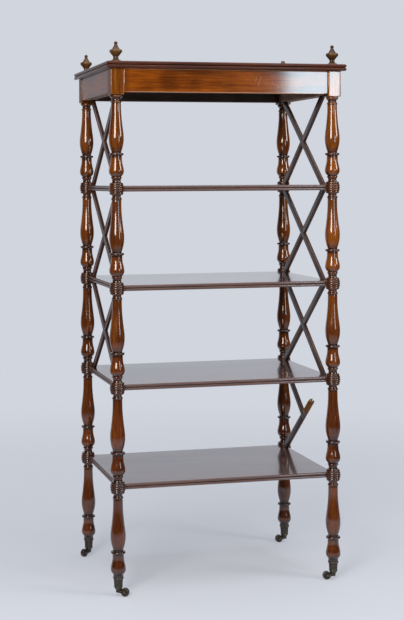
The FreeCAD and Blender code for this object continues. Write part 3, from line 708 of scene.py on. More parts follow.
def grown(source, tree, values):
    """The plain mesh that a geometry tree makes from a source mesh."""
    carrier = linked("carrier", source)
    modifier = carrier.modifiers.new("tree", "NODES")
    modifier.node_group = tree
    for name, value in values.items():
        modifier[socket_id(tree, name)] = value
    mesh = evaluated(carrier)
    bpy.data.objects.remove(carrier)
    bpy.data.meshes.remove(source)
    return mesh


def spun(profile, finish, facets, place=(0.0, 0.0, 0.0), turn=(0.0, 0.0, 0.0)):
    """A mesh turned from a profile."""
    points = [(radius * MM - ARBOR, -height * MM, 0.0) for radius, height in profile.points]
    source = bpy.data.meshes.new("outline")
    source.from_pydata(points, [(i, i + 1) for i in range(len(points) - 1)], [])
    layer = source.attributes.new("hollow", "FLOAT", "POINT")
    layer.data.foreach_set("value", profile.hollows().astype(np.float32))
    return grown(source, lathe_tree(), {
        "Facets": facets, "Arbor": ARBOR, "Turn": Euler(turn), "Place": place, "Finish": finish})


def mesh_with(bm, finishes):
    """A mesh from a bmesh, with its materials."""
    mesh = bpy.data.meshes.new("mesh")
    bm.to_mesh(mesh)
    bm.free()
    for finish in finishes:
        mesh.materials.append(finish)
    return mesh


def mesh_from(bm, *finishes):
    """A mesh from a bmesh, with its faces turned outwards and its materials."""
    bmesh.ops.recalc_face_normals(bm, faces=bm.faces)
    return mesh_with(bm, finishes)


def merged(meshes):
    """Several meshes as one, each with its own materials."""
    bm = bmesh.new()
    finishes = []
    for mesh in meshes:
        finishes += [finish for finish in mesh.materials if finish not in finishes]
        start = len(bm.faces)
        bm.from_mesh(mesh)
        bm.faces.ensure_lookup_table()
        for face in bm.faces[start:]:
            face.material_index = finishes.index(mesh.materials[face.material_index])
    for mesh in meshes:
        bpy.data.meshes.remove(mesh)
    return mesh_with(bm, finishes)


def set_piece(node, mesh, body=ROOT_BODY, surface="polished"):
    """Puts a finished mesh in the scene in the place of its node."""
    name = f"{node}_{surface}"
    mesh.name = name
    mesh.shade_smooth()
    mesh.set_sharp_from_angle(angle=SHARP_ANGLE)
    piece = linked(name, mesh)
    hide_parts(node)
    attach(piece, body)


def box_centre(node):
    low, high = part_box(node)
    return (low + high) / 2


def soften(bm, edges, arris, segments, clamp=False):
    """Rounds some edges of a bmesh."""
    bmesh.ops.bevel(bm, geom=edges, offset=arris, segments=segments, profile=0.5, affect="EDGES",
                    clamp_overlap=clamp)


def split(bm, place, normal, clear_outer=False):
    """Cuts a bmesh along a plane and returns what lies on the cut."""
    everything = bm.verts[:] + bm.edges[:] + bm.faces[:]
    cut = bmesh.ops.bisect_plane(
        bm, geom=everything, plane_co=place, plane_no=normal, clear_outer=clear_outer)
    return cut["geom_cut"]


def squared(low, high, arris, finishes, facing, upright_arris=None, darkened_axis=None):
    """A box with rounded arrises, whose edges are marked pale: rubbed polish and painted highlight. The
    faces that look along the facing directions get the second finish, and the ends along one axis may be
    darkened."""
    def rise(edge):
        return abs(edge.verts[0].co.z - edge.verts[1].co.z)

    bm = bmesh.new()
    bmesh.ops.create_cube(bm, size=1.0)
    for vert in bm.verts:
        vert.co = Vector(far if side > 0 else near for side, near, far in zip(vert.co, low, high))
    if upright_arris:
        soften(bm, [edge for edge in bm.edges if rise(edge) > arris], upright_arris, BLOCK_SEGMENTS)
        soften(bm, [edge for edge in bm.edges if rise(edge) < arris], arris, ARRIS_SEGMENTS)
    else:
        soften(bm, bm.edges[:], arris, ARRIS_SEGMENTS)
    layer = bm.verts.layers.float.new("hollow")
    for vert in bm.verts:
        vert[layer] = RUBBED_AND_LIT_ARRIS
    flats = sorted(bm.faces, key=lambda face: -face.calc_area())[:6]
    bmesh.ops.inset_individual(bm, faces=flats, thickness=RUBBED_AND_LIT_BAND * arris, use_even_offset=True)
    for face in flats:
        for vert in face.verts:
            vert[layer] = 0.0
    # The ends along the axis are darkened over a reach
    if darkened_axis is not None:
        reach = RAIL_END_REACH * MM
        along = Vector(1.0 if i == darkened_axis else 0.0 for i in range(3))
        start, stop = low[darkened_axis], high[darkened_axis]
        for place in (start + reach, stop - reach):
            split(bm, along * place, along)
        for vert in bm.verts:
            end = min(vert.co[darkened_axis] - start, stop - vert.co[darkened_axis])
            vert[layer] += RAIL_END_DARKENING * max(0.0, 1.0 - end / reach)
    bm.normal_update()
    for face in bm.faces:
        if any(face.normal.dot(Vector(way)) > FACING for way in facing):
            face.material_index = 1
    return mesh_from(bm, *finishes)


def bead(profile, centre):
    profile.line(FILLET_RADIUS, centre + COLLAR_HALF_HEIGHT)
    profile.arc((COLLAR_RADIUS, centre), (FILLET_RADIUS, centre - COLLAR_HALF_HEIGHT))


def cove(profile, radius, height):
    """The hollow neck from where the profile stands."""
    profile.arc((NECK_RADIUS, (profile.points[-1][1] + height) / 2), (radius, height))


def ring_and_vases(profile, ring, start):
    """The long vase, the ring under it and the small vase."""
    profile.line(start[1], ring + start[0])
    profile.curve([(ring + height, radius) for height, radius in (start,) + LONG_VASE[1:]])
    profile.line(LONG_VASE[-1][1], ring + RING_HALF_HEIGHT)
    profile.line(RING_RADIUS - RING_ROUNDING, ring + RING_HALF_HEIGHT)
    profile.arc((RING_RADIUS, ring), (RING_RADIUS - RING_ROUNDING, ring - RING_HALF_HEIGHT))
    profile.line(SMALL_VASE[0][1], ring - RING_HALF_HEIGHT)
    profile.line(SMALL_VASE[0][1], ring + SMALL_VASE[0][0])
    profile.curve([(ring + height, radius) for height, radius in SMALL_VASE])
    # The ring is painted darker: painted shade
    profile.darken_stretch(ring - RING_HALF_HEIGHT, ring + RING_HALF_HEIGHT, RING_SHADE)
    # The vases' lower ends are painted darker: painted shade
    for foot in (ring + LONG_VASE[-1][0], ring + SMALL_VASE[-1][0]):
        profile.darken_stretch(foot, foot + VASE_FOOT_HEIGHT, VASE_FOOT_SHADE)


def knop(profile, level):
    """The reeded barrel round a shelf's corner, with the collar and cove above it."""
    def barrel(height):
        return KNOP_RADIUS - KNOP_CROWN * (height / KNOP_HALF_HEIGHT) ** 2

    bead(profile, level + COLLAR_OVER_KNOP)
    cove(profile, KNOP_SHOULDER_RADIUS, level + KNOP_HALF_HEIGHT)
    profile.line(barrel(KNOP_HALF_HEIGHT) - KNOP_REED_DEPTH, level + KNOP_HALF_HEIGHT)
    reed = 2 * KNOP_HALF_HEIGHT / KNOP_REEDS
    for i in range(KNOP_REEDS):
        crest = KNOP_HALF_HEIGHT - (i + 0.5) * reed
        groove = crest - reed / 2
        profile.arc((barrel(crest), level + crest), (barrel(groove) - KNOP_REED_DEPTH, level + groove))
    # The knop is painted darker: dust and painted shade
    profile.darken_stretch(level - KNOP_HALF_HEIGHT, level + COLLAR_OVER_KNOP, KNOP_DUST_AND_SHADE)
    profile.line(0.0, level - KNOP_HALF_HEIGHT)


def neck(level, step):
    """The head of a section: the neck and collar under the knop at a level."""
    joint = level - KNOP_HALF_HEIGHT
    collar = level - COLLAR_UNDER_KNOP
    profile = Profile(joint, step)
    profile.line(KNOP_SHOULDER_RADIUS, joint)
    cove(profile, FILLET_RADIUS, collar + COLLAR_HALF_HEIGHT)
    bead(profile, collar)
    # The collar under the knop is painted darker: dust and painted shade
    profile.darken_stretch(collar, joint, KNOP_DUST_AND_SHADE)
    return profile


def top_neck(block_bottom, step):
    """The bead, cove and collar under a corner block."""
    head, middle, foot = BLOCK_BEAD_RADII
    collar = block_bottom - BLOCK_COLLAR_DROP
    profile = Profile(block_bottom, step)
    profile.line(head, block_bottom)
    profile.arc((middle, block_bottom - BLOCK_BEAD_HEIGHT / 2), (foot, block_bottom - BLOCK_BEAD_HEIGHT))
    cove(profile, FILLET_RADIUS, collar + COLLAR_HALF_HEIGHT)
    bead(profile, collar)
    # The neck under the block is painted darker: painted shade
    profile.darken_stretch(collar, block_bottom, TOP_NECK_SHADE)
    return profile


def corner_block(axis, top, sizes, finishes):
    """The block at an upright's head. Its sides, foot and inner face get the second finish: painted shade.
    """
    half = BLOCK_WIDTH / 2 * MM
    low = (axis.x - half, axis.y - half, (top - BLOCK_HEIGHT) * MM)
    high = (axis.x + half, axis.y + half, top * MM)
    facing = [(1, 0, 0), (-1, 0, 0), (0, 0, -1), (0, math.copysign(1, -axis.y), 0)]
    return squared(low, high, sizes.arris, finishes, facing, upright_arris=sizes.block_arris)


class WHATNOT_OT_uprights(bpy.types.Operator):
    """Turns the four uprights in their sections, with the square blocks at the top and the legs below"""

    bl_idname = "whatnot.uprights"
    bl_label = "Uprights"

    def execute(self, context):
        sizes, finish = context.scene.whatnot_sizes, context.scene.whatnot_finish
        step = sizes.turning_step / MM
        wood = mahogany("turned_mahogany", finish.turned_light, finish.turned_dark, polish_blur=0.11,
                        polish_index=1.64, low_painted_shade=finish.low_painted_shade)
        # The second copy is darker and less polished: painted shade on the blocks' sides, feet and inner
        # faces
        block_woods = [
            mahogany(name, shaded(finish.block_light, share), shaded(finish.block_dark, share), band=260.0,
                     ribbon=70.0, polish=share, polish_blur=blur, polish_index=1.72, wood_gloss=0.0)
            for name, share, blur in (("block_mahogany", 1.0, 0.08), ("block_side_mahogany", 0.4, 0.20))]
        levels = [box_centre(f"shelf_{n + 1}").z / MM for n in range(SHELVES)]
        levels.insert(0, levels[0] + (levels[0] - levels[1]))
        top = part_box("top_board")[0].z / MM
        for corner in CORNERS:
            axis = box_centre(f"{corner}_leg")
            place = (axis.x, axis.y, 0.0)
            for n, (level, next_level) in enumerate(zip(levels, levels[1:]), start=1):
                profile = neck(level, step) if n > 1 else top_neck(top - BLOCK_HEIGHT, step)
                ring_and_vases(profile, level - RING_BELOW_KNOP, LONG_VASE[0] if n > 1 else TOP_VASE_START)
                knop(profile, next_level)
                mesh = spun(profile, wood, sizes.facets, place)
                if n == 1:
                    mesh = merged([mesh, corner_block(axis, top, sizes, block_woods)])
                set_piece(f"{corner}_post_{n}", mesh)
            profile = neck(levels[-1], step)
            ring = levels[-1] - RING_BELOW_KNOP
            ring_and_vases(profile, ring, LONG_VASE[0])
            profile.line(LEG_FOOT_RADIUS, SOCKET_TOP)
            # The leg's foot under the small vase is painted darker: painted shade
            profile.darken_stretch(SOCKET_TOP, ring + SMALL_VASE[-1][0], LEG_FOOT_SHADE)
            profile.line(0.0, SOCKET_TOP)
            set_piece(f"{corner}_leg", spun(profile, wood, sizes.facets, place))
        return {"FINISHED"}


def reeded_edge(thickness, depth):
    """Insets, heights and hollows down a board's edge: a border, two half-round reeds and a border."""
    reed = thickness / 2
    radius = (depth ** 2 + (reed / 2) ** 2) / (2 * depth)
    reach = math.asin(reed / 2 / radius)
    points = [(depth + EDGE_BORDER, thickness, 0.0), (depth + EDGE_LIP, thickness, RUBBED_AND_LIT_LIP)]
    for base, outward in ((reed, 1), (0.0, -1)):
        for i in range(REED_STEPS + 1):
            turn = reach * (1 - 2 * i / REED_STEPS)
            inset = radius * (1 - math.cos(turn))
            height = base + reed / 2 + radius * math.sin(turn)
            # Grooves are painted dark with dust and painted shade; crests are painted pale with rubbed
            # polish and painted highlight
            gather = BORDER_DUST_AND_SHADE if turn * outward > 0 else GROOVE_DUST_AND_SHADE
            points.append((inset, height, gather * inset / depth - 1.0))
    return points + [(depth + EDGE_LIP, 0.0, 0.0), (depth + EDGE_BORDER, 0.0, 0.0)]


def corner_arcs(x, y, radius, first, last, steps):
    """Arcs round the four corners of a rectangle, anticlockwise, between two angles at the first corner."""
    points = []
    for quarter, (centre_x, centre_y) in enumerate(((x, -y), (x, y), (-x, y), (-x, -y))):
        for i in range(steps + 1):
            angle = quarter * math.pi / 2 + first + (last - first) * i / steps
            points.append((centre_x + radius * math.cos(angle), centre_y + radius * math.sin(angle)))
    return points


def rounded_outline(half_x, half_y, inset, rounding):
    """A rectangle with small round corners."""
    radius = max(rounding - MITRE_TAPER * inset, LEAST_MITRE * MM)
    set_in = inset + radius
    return corner_arcs(half_x - set_in, half_y - set_in, radius, -math.pi / 2, 0.0, MITRE_STEPS)


def hollowed_outline(half_x, half_y, inset, hollow):
    """A rectangle whose corners are hollowed round the uprights."""
    reach = math.asin(inset / hollow)
    return corner_arcs(half_x, half_y, hollow, math.pi - reach, math.pi / 2 + reach, SHELF_HOLLOW_STEPS)


def reeded_board(node, depth, outline, rounding, finishes):
    """A board with two reeds along its edges. The finishes are for its faces, edges and, last, ends."""
    low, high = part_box(node)
    centre = (low + high) / 2
    half = (high - low) / 2
    bm = bmesh.new()
    layer = bm.verts.layers.float.new("hollow")
    rings = []
    for inset, height, hollow in reeded_edge((high.z - low.z) / MM, depth):
        ring = [bm.verts.new((centre.x + x, centre.y + y, low.z + height * MM))
                for x, y in outline(half.x, half.y, inset * MM, rounding)]
        for vert in ring:
            vert[layer] = hollow
        rings.append(ring)
    for step, (upper, lower) in enumerate(zip(rings, rings[1:])):
        on_edge = 0 < step < len(rings) - 2
        for i in range(len(upper)):
            face = bm.faces.new((upper[i - 1], lower[i - 1], lower[i], upper[i]))
            run = upper[i].co - upper[i - 1].co
            edge_slot = len(finishes) - 1 if abs(run.y) > abs(run.x) else 1
            face.material_index = edge_slot if on_edge else 0
    bm.faces.new(rings[0])
    bm.faces.new(rings[-1][::-1])
    bmesh.ops.remove_doubles(bm, verts=bm.verts, dist=BOARD_WELD * MM)
    return mesh_from(bm, *finishes)


class WHATNOT_OT_boards(bpy.types.Operator):
    """Planes the top board and the four shelves and runs the reeds along their edges"""

    bl_idname = "whatnot.boards"
    bl_label = "Top and shelves"

    def execute(self, context):
        sizes, finish = context.scene.whatnot_sizes, context.scene.whatnot_finish
        wood = mahogany("board_mahogany", finish.board_light, finish.board_dark, axis=0, band=70.0,
                        ribbon=14.0, polish_blur=0.10, polish_index=1.56, wood_gloss=0.16, wood_blur=0.32)
        # The edges' rubbed shares pale the reeds' crests: rubbed polish and painted highlight
        top_edge, *shelf_edges = [
            mahogany(name, light, dark, axis=0, band=160.0, polish=polish, polish_blur=blur, rubbed=rubbed)
            for name, light, dark, rubbed, polish, blur in (
                ("top_edge_mahogany", finish.top_edge_light, finish.top_edge_dark, 0.25, 0.32, 0.20),
                ("shelf_edge_mahogany", finish.edge_light, finish.edge_dark, 0.55, 1.0, 0.10),
                ("shelf_end_mahogany", finish.edge_light, finish.edge_dark, 0.30, 0.40, 0.16))]
        mesh = reeded_board("top_board", TOP_REED_DEPTH, rounded_outline, sizes.mitre, (wood, top_edge))
        set_piece("top_board", mesh)
        for n in range(1, SHELVES + 1):
            mesh = reeded_board(f"shelf_{n}", SHELF_REED_DEPTH, hollowed_outline, SHELF_HOLLOW_RADIUS * MM,
                                (wood, *shelf_edges))
            set_piece(f"shelf_{n}", mesh)
        return {"FINISHED"}


class WHATNOT_OT_frieze(bpy.types.Operator):
    """Fits the four rails of the frieze between the corner blocks"""

    bl_idname = "whatnot.frieze"
    bl_label = "Frieze"

    def execute(self, context):
        sizes, finish = context.scene.whatnot_sizes, context.scene.whatnot_finish
        face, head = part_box("front_rail")[0].y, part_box("front_rail")[1].z
        scratches = [[(x * MM, face, head - drop * MM) for x, drop in ends] for ends in FRIEZE_SCRATCHES]
        # The frieze's edges are painted pale with this tone: rubbed polish and painted highlight
        long_wood = mahogany(
            "frieze_long_mahogany", finish.frieze_light, finish.frieze_dark, axis=0, band=190.0, ribbon=30.0,
            mottle=0.36, polish_blur=0.08, polish_index=1.72, ripple=FRIEZE_RIPPLE, wood_gloss=0.06,
            wood_blur=0.22, rubbed=0.75, rubbed_and_lit_tone=finish.rubbed_and_lit_edge, darkens=FRIEZE_DARKENS,
            scratches=scratches)
        # The side rails take a darker copy of the frieze wood: painted shade
        shaded_side_wood = mahogany(
            "frieze_side_mahogany", shaded(finish.frieze_light, SIDE_SHADE_SHARE),
            shaded(finish.frieze_dark, SIDE_SHADE_SHARE), axis=1, band=190.0, ribbon=30.0, polish=0.5,
            polish_blur=0.20)
        # The inner and under faces are unpolished wood, darkened as painted shade
        bare_shaded_woods = [
            mahogany(f"frieze_inside_{run + 1}", shaded(finish.bare_and_shaded_inside, share),
                     shaded(finish.bare_and_shaded_inside, BARE_DARK_SHARE * share), axis=run, band=90.0, polish=0.0,
                     wood_gloss=0.2, wood_blur=0.75)
            for run, share in enumerate(BARE_SHADE_SHARES)]
        reach = box_centre("back_right_leg") - Vector((BLOCK_WIDTH / 2 * MM, BLOCK_WIDTH / 2 * MM, 0.0))
        for side, wood, run, inward in (
                ("front", long_wood, 0, (0, 1, 0)), ("back", long_wood, 0, (0, -1, 0)),
                ("left", shaded_side_wood, 1, (1, 0, 0)), ("right", shaded_side_wood, 1, (-1, 0, 0))):
            low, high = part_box(f"{side}_rail")
            low[run], high[run] = -reach[run], reach[run]
            mesh = squared(low, high, sizes.rail_arris, (wood, bare_shaded_woods[run]), [inward, (0, 0, -1)],
                           darkened_axis=run)
            set_piece(f"{side}_rail", mesh)
        return {"FINISHED"}


class Bar:
    """One slanting bar in the YZ plane, halved where it meets its partner."""

    def __init__(self, node, rising):
        side, number = node.split("_")[0], int(node.split("_")[2])
        self.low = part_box(f"shelf_{number}")[1].z
        self.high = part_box(f"shelf_{number - 1}")[0].z if number > 1 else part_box(f"{side}_rail")[0].z
        low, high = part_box(node)
        self.layers = (low.x, (low.x + high.x) / 2, high.x)
        self.foot = BAR_END_Y * MM * (1 if rising else -1)
        rise, run = self.high - self.low, 2 * BAR_END_Y * MM
        self.half = BAR_WIDTH / 2 * MM * math.hypot(rise, run) / rise

    def point(self, share, edge, layer_x):
        """A point at a share of the length on the front or back edge."""
        return Vector((layer_x, self.foot * (1 - 2 * share) + edge * self.half,
                       self.low + share * (self.high - self.low)))

    def stations(self, edge, stop):
        """Shares of the length where the partner's edges cross one edge of this bar."""
        lap = self.half / (2 * self.foot) * edge
        return (0.0, *sorted((0.5, 0.5 + lap)), stop)

    def solid(self, cells, stop, finish, arris):
        """The bar from its half-thickness cells, with rounded arrises."""
        bm = bmesh.new()
        front, back = {}, {}
        for edge, grid in ((-1, front), (1, back)):
            for span, share in enumerate(self.stations(edge, stop)):
                for layer, x in enumerate(self.layers):
                    grid[span, layer] = bm.verts.new(self.point(share, edge, x))
        for layer, span in cells:
            near, far = (span, layer), (span + 1, layer)
            near_outer, far_outer = (span, layer + 1), (span + 1, layer + 1)
            walls = (((layer, span - 1), near, near_outer), ((layer, span + 1), far, far_outer),
                     ((layer - 1, span), near, far), ((layer + 1, span), near_outer, far_outer))
            for neighbour, first, second in walls:
                if neighbour not in cells:
                    bm.faces.new([front[first], back[first], back[second], front[second]])
            for grid in (front, back):
                bm.faces.new([grid[corner] for corner in (near, near_outer, far_outer, far)])
        loose = [vert for vert in bm.verts if not vert.link_faces]
        bmesh.ops.delete(bm, geom=loose, context="VERTS")
        bmesh.ops.recalc_face_normals(bm, faces=bm.faces)
        bmesh.ops.dissolve_limit(bm, angle_limit=FLAT_ANGLE, verts=bm.verts, edges=bm.edges)
        crisp = [edge for edge in bm.edges if len(edge.link_faces) == 2 and edge.is_convex
                 and edge.calc_face_angle() > CRISP_ANGLE]
        soften(bm, crisp, arris, FINE_SEGMENTS, clamp=True)
        return mesh_from(bm, finish)

    def strip(self, mesh, finish):
        """Gives the wood past the crossing its own finish."""
        mesh.materials.append(finish)
        bm = bmesh.new()
        bm.from_mesh(mesh)
        along = self.point(1.0, 0, 0.0) - self.point(0.0, 0, 0.0)
        split(bm, self.point(STRIPPED, 0, 0.0), along)
        for face in bm.faces:
            middle = face.calc_center_median()
            share = (middle - self.point(0.0, 0, middle.x)).dot(along) / along.length_squared
            face.material_index = 1 if share > STRIPPED else 0
        bm.to_mesh(mesh)
        bm.free()

    def splintered(self, finishes):
        """The ragged end of a broken bar: torn fibres with two long prongs. The finishes are for its sides
        and its tear."""
        dice = random.Random(TEAR_SEED)
        wide, thick = FIBRES_ACROSS, FIBRES_DEEP
        bm = bmesh.new()

        def fibre(i, j, share):
            x = self.layers[0] + j / thick * (self.layers[2] - self.layers[0])
            return bm.verts.new(self.point(share, 2 * i / wide - 1, x))

        tips = {}
        for i in range(wide + 1):
            across = 2 * i / wide - 1
            prong = max(height * math.exp(-((across - middle) / width) ** 2)
                        for middle, width, height in PRONGS)
            tall = TEAR_FIELD + (1 - TEAR_FIELD) * prong
            for j in range(thick + 1):
                torn = tall * (1 - TEAR_RAGGED + TEAR_RAGGED * dice.random()) - TEAR_PITS * dice.random()
                torn = max(TEAR_LEAST, min(1.0, torn))
                tips[i, j] = fibre(i, j, BREAK_START + (BREAK_END - BREAK_START) * torn)
        foot = {}
        for i, j in tips:
            if i in (0, wide) or j in (0, thick):
                foot[i, j] = fibre(i, j, BREAK_START)
        for i in range(wide):
            for j in range(thick):
                face = bm.faces.new((tips[i, j], tips[i + 1, j], tips[i + 1, j + 1], tips[i, j + 1]))
                face.material_index = 1
        rim = [(i, 0) for i in range(wide)] + [(wide, j) for j in range(thick)]
        rim += [(i, thick) for i in range(wide, 0, -1)] + [(0, j) for j in range(thick, 0, -1)]
        for here, there in zip(rim, rim[1:] + rim[:1]):
            bm.faces.new((foot[here], foot[there], tips[there], tips[here]))
        bm.faces.new([foot[place] for place in rim])
        return mesh_from(bm, *finishes)


class WHATNOT_OT_bars(bpy.types.Operator):
    """Cuts the crossed side bars, halves each pair together and splinters the broken one"""

    bl_idname = "whatnot.bars"
    bl_label = "Crossed bars"

    def execute(self, context):
        sizes, finish = context.scene.whatnot_sizes, context.scene.whatnot_finish
        slope = math.atan2(2 * BAR_END_Y, BAR_RISE)
        woods = {
            kind: mahogany(f"bar_{kind}_mahogany", finish.bar_light, finish.bar_dark, turn=turn, band=210.0,
                           ribbon=40.0, polish=0.50, polish_blur=0.22, wood_blur=0.45)
            for kind, turn in (("rising", -slope), ("falling", slope))}
        bare = [
            mahogany(name, light, shaded(light, STRIPPED_DARK_SHARE), turn=-slope, band=420.0, ribbon=90.0,
                     polish=0.0, wood_gloss=0.1, wood_blur=0.7)
            for name, light in (("stripped_wood", finish.stripped_wood), ("torn_wood", finish.torn_wood))]
        for node in sorted(name for name in frame["nodes"] if "_bar_" in name):
            kind = node.split("_")[-1]
            bar = Bar(node, kind == "rising")
            missing = (0, 1) if kind == "rising" else (1, 1)
            cells = {(layer, span) for layer in (0, 1) for span in (0, 1, 2)} - {missing}
            broken = node.startswith(BROKEN_BAR)
            if broken and kind == "falling":
                cells -= {(0, 0), (1, 0)}
            stop = BREAK_START if broken and kind == "rising" else 1.0
            mesh = bar.solid(cells, stop, woods[kind], sizes.bar_arris)
            if stop < 1.0:
                bar.strip(mesh, bare[0])
                mesh = merged([bar.splintered(bare), mesh])
            set_piece(node, mesh)
        return {"FINISHED"}


def finial_profile(base, step):
    """The outline of a whole finial that stands on a base height."""
    profile = Profile(base + FINIAL_HEIGHT, step)
    ball = base + FINIAL_HEIGHT - FINIAL_BALL_RADIUS
    ball_foot = ball - math.sqrt(FINIAL_BALL_RADIUS ** 2 - FINIAL_BALL_NECK ** 2)
    profile.arc((FINIAL_BALL_RADIUS, ball), (FINIAL_BALL_NECK, ball_foot))
    for curve in (FINIAL_LID, FINIAL_BOWL):
        profile.line(curve[-1][1], base + curve[-1][0])
        profile.curve([(base + height, radius) for height, radius in curve[::-1]])
    profile.line(FINIAL_STEM_RADIUS, base + FINIAL_STEM_FOOT)
    foot_radius, foot_top = FINIAL_FOOT[-1]
    hollow = (FINIAL_COVE_RADIUS, base + (FINIAL_STEM_FOOT + foot_top) / 2)
    profile.arc(hollow, (foot_radius, base + foot_top))
    for radius, height in FINIAL_FOOT[::-1]:
        profile.line(radius, base + height)
    profile.line(0.0, base)
    return profile


def snapped(mesh, axis, height, finish, raw):
    """A turned mesh cut off along a slanting line, with a torn face."""
    bm = bmesh.new()
    bm.from_mesh(mesh)
    normal = Vector((math.sin(BROKEN_FINIAL_TILT), 0, math.cos(BROKEN_FINIAL_TILT)))
    cut = split(bm, (axis.x, axis.y, height), normal, clear_outer=True)
    rim = [part for part in cut if isinstance(part, bmesh.types.BMEdge)]
    for cap in bmesh.ops.contextual_create(bm, geom=rim)["faces"]:
        cap.material_index = 1
    bpy.data.meshes.remove(mesh)
    return mesh_from(bm, finish, raw)


class WHATNOT_OT_finials(bpy.types.Operator):
    """Turns the four urn finials, one of them snapped under its ball"""

    bl_idname = "whatnot.finials"
    bl_label = "Finials"

    def execute(self, context):
        sizes, finish = context.scene.whatnot_sizes, context.scene.whatnot_finish
        # The finials take less of the hollows' darkening, which is dust and painted shade
        wood = mahogany("finial_wood", finish.finial_light, finish.finial_dark, band=320.0, ribbon=90.0,
                        polish=0.5, polish_blur=0.20, dust=0.40)
        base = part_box("top_board")[1].z
        profile = finial_profile(base / MM, FINIAL_FINENESS * sizes.turning_step / MM)
        for corner in CORNERS:
            node = f"{corner}_finial"
            axis = box_centre(node)
            mesh = spun(profile, wood, sizes.facets, (axis.x, axis.y, 0.0))
            if corner == BROKEN_FINIAL:
                raw = bpy.data.materials["torn_wood"]
                mesh = snapped(mesh, axis, base + BROKEN_FINIAL_HEIGHT * MM, wood, raw)
            set_piece(node, mesh)
        return {"FINISHED"}


def cheek(low_y, finish):
    """One arm of a horn: a flat link from the boss to the axle with softened edges."""
    root, end = Vector((0.0, FLANGE_BOTTOM - CHEEK_ROOT_RADIUS)), Vector((CASTOR_TRAIL, WHEEL_RADIUS))
    run = end - root
    slope = math.atan2(run.y, run.x)
    wrap = math.acos((CHEEK_ROOT_RADIUS - CHEEK_END_RADIUS) / run.length)
    outline = []
    for centre, radius, start, sweep in ((root, CHEEK_ROOT_RADIUS, wrap, math.tau - 2 * wrap),
                                         (end, CHEEK_END_RADIUS, -wrap, 2 * wrap)):
        for i in range(CHEEK_STEPS + 1):
            angle = slope + start + sweep * i / CHEEK_STEPS
            outline.append(centre + radius * Vector((math.cos(angle), math.sin(angle))))
    bm = bmesh.new()
    face = bm.faces.new([bm.verts.new((point.x * MM, low_y * MM, point.y * MM)) for point in outline])
    drawn = bmesh.ops.extrude_face_region(bm, geom=[face])["geom"]
    bmesh.ops.translate(bm, verts=[part for part in drawn if isinstance(part, bmesh.types.BMVert)],
                        vec=(0, CHEEK_THICKNESS * MM, 0))
    bmesh.ops.recalc_face_normals(bm, faces=bm.faces)
    rims = [edge for edge in bm.edges if edge.calc_face_angle() > RIM_ANGLE]
    soften(bm, rims, CHEEK_ARRIS * MM, FINE_SEGMENTS)
    return mesh_from(bm, finish)


def united(meshes, finish):
    """One skin round several overlapping meshes."""
    parts = [linked("part", mesh) for mesh in meshes]
    for part in parts[1:]:
        modifier = parts[0].modifiers.new("union", "BOOLEAN")
        modifier.operation = "UNION"
        modifier.solver = "EXACT"
        modifier.object = part
    skin = evaluated(parts[0])
    for part, mesh in zip(parts, meshes):
        bpy.data.objects.remove(part)
        bpy.data.meshes.remove(mesh)
    skin.materials.clear()
    skin.materials.append(finish)
    return skin


def slotted_screw(finish):
    """A screw head with a slot, standing along +Z from its seat, as a mesh."""
    radius, rise, slot, depth = shaded(
        (SCREW_HEAD_RADIUS, SCREW_HEAD_RISE, SCREW_SLOT_HALF_WIDTH, SCREW_SLOT_DEPTH), MM)
    bm = bmesh.new()
    start = math.asin(slot / radius)
    for side in (1, -1):
        angles = [start + (math.pi - 2 * start) * i / SCREW_HEAD_STEPS for i in range(SCREW_HEAD_STEPS + 1)]
        arc = [(side * radius * math.cos(angle), side * radius * math.sin(angle)) for angle in angles]
        rings = [[bm.verts.new((x * share, math.copysign(max(abs(y) * share, slot), y), lift * rise))
                  for x, y in arc] for share, lift in SCREW_HEAD_RINGS]
        for lower, upper in zip(rings, rings[1:]):
            for i in range(len(arc)):
                bm.faces.new((lower[i - 1], lower[i], upper[i], upper[i - 1]))
        bm.faces.new(rings[-1])
        bm.faces.new(rings[0][::-1])
    reach = radius * math.cos(start)
    floor = [bm.verts.new((x, y, z)) for z in (0.0, rise - depth)
             for x, y in ((-reach, -slot), (reach, -slot), (reach, slot), (-reach, slot))]
    for corners in ((3, 2, 1, 0), (4, 5, 6, 7), (0, 1, 5, 4), (1, 2, 6, 5), (2, 3, 7, 6), (3, 0, 4, 7)):
        bm.faces.new([floor[corner] for corner in corners])
    return mesh_from(bm, finish)


def screws_tree():
    """Sets a copy of the screw on each point, standing along the point's outward direction."""
    tree, wire, given = new_tree("socket_screws", {"Screw": "Object"})
    out = wire.result("GeometryNodeInputNamedAttribute", {"Name": "outward"}, data_type="FLOAT_VECTOR")
    facing = wire.result("FunctionNodeAlignRotationToVector", {"Vector": out}, axis="Z")
    spin = wire.result(
        "FunctionNodeRandomValue", {2: 0.0, 3: math.pi, "Seed": SCREW_TURN_SEED}, 1, data_type="FLOAT")
    slot_turn = wire.result("FunctionNodeAxisAngleToRotation", {"Axis": (0, 0, 1), "Angle": spin})
    rotation = wire.result(
        "FunctionNodeRotateRotation", {"Rotation": facing, "Rotate By": slot_turn}, rotation_space="LOCAL")
    screw = wire.result("GeometryNodeObjectInfo", {"Object": given["Screw"]}, "Geometry")
    points = wire.result("GeometryNodeMeshToPoints", {0: given["Geometry"]})
    copies = wire.result("GeometryNodeInstanceOnPoints", {
        "Points": points, "Instance": screw, "Rotation": rotation})
    end_tree(wire, given, copies)
    return tree


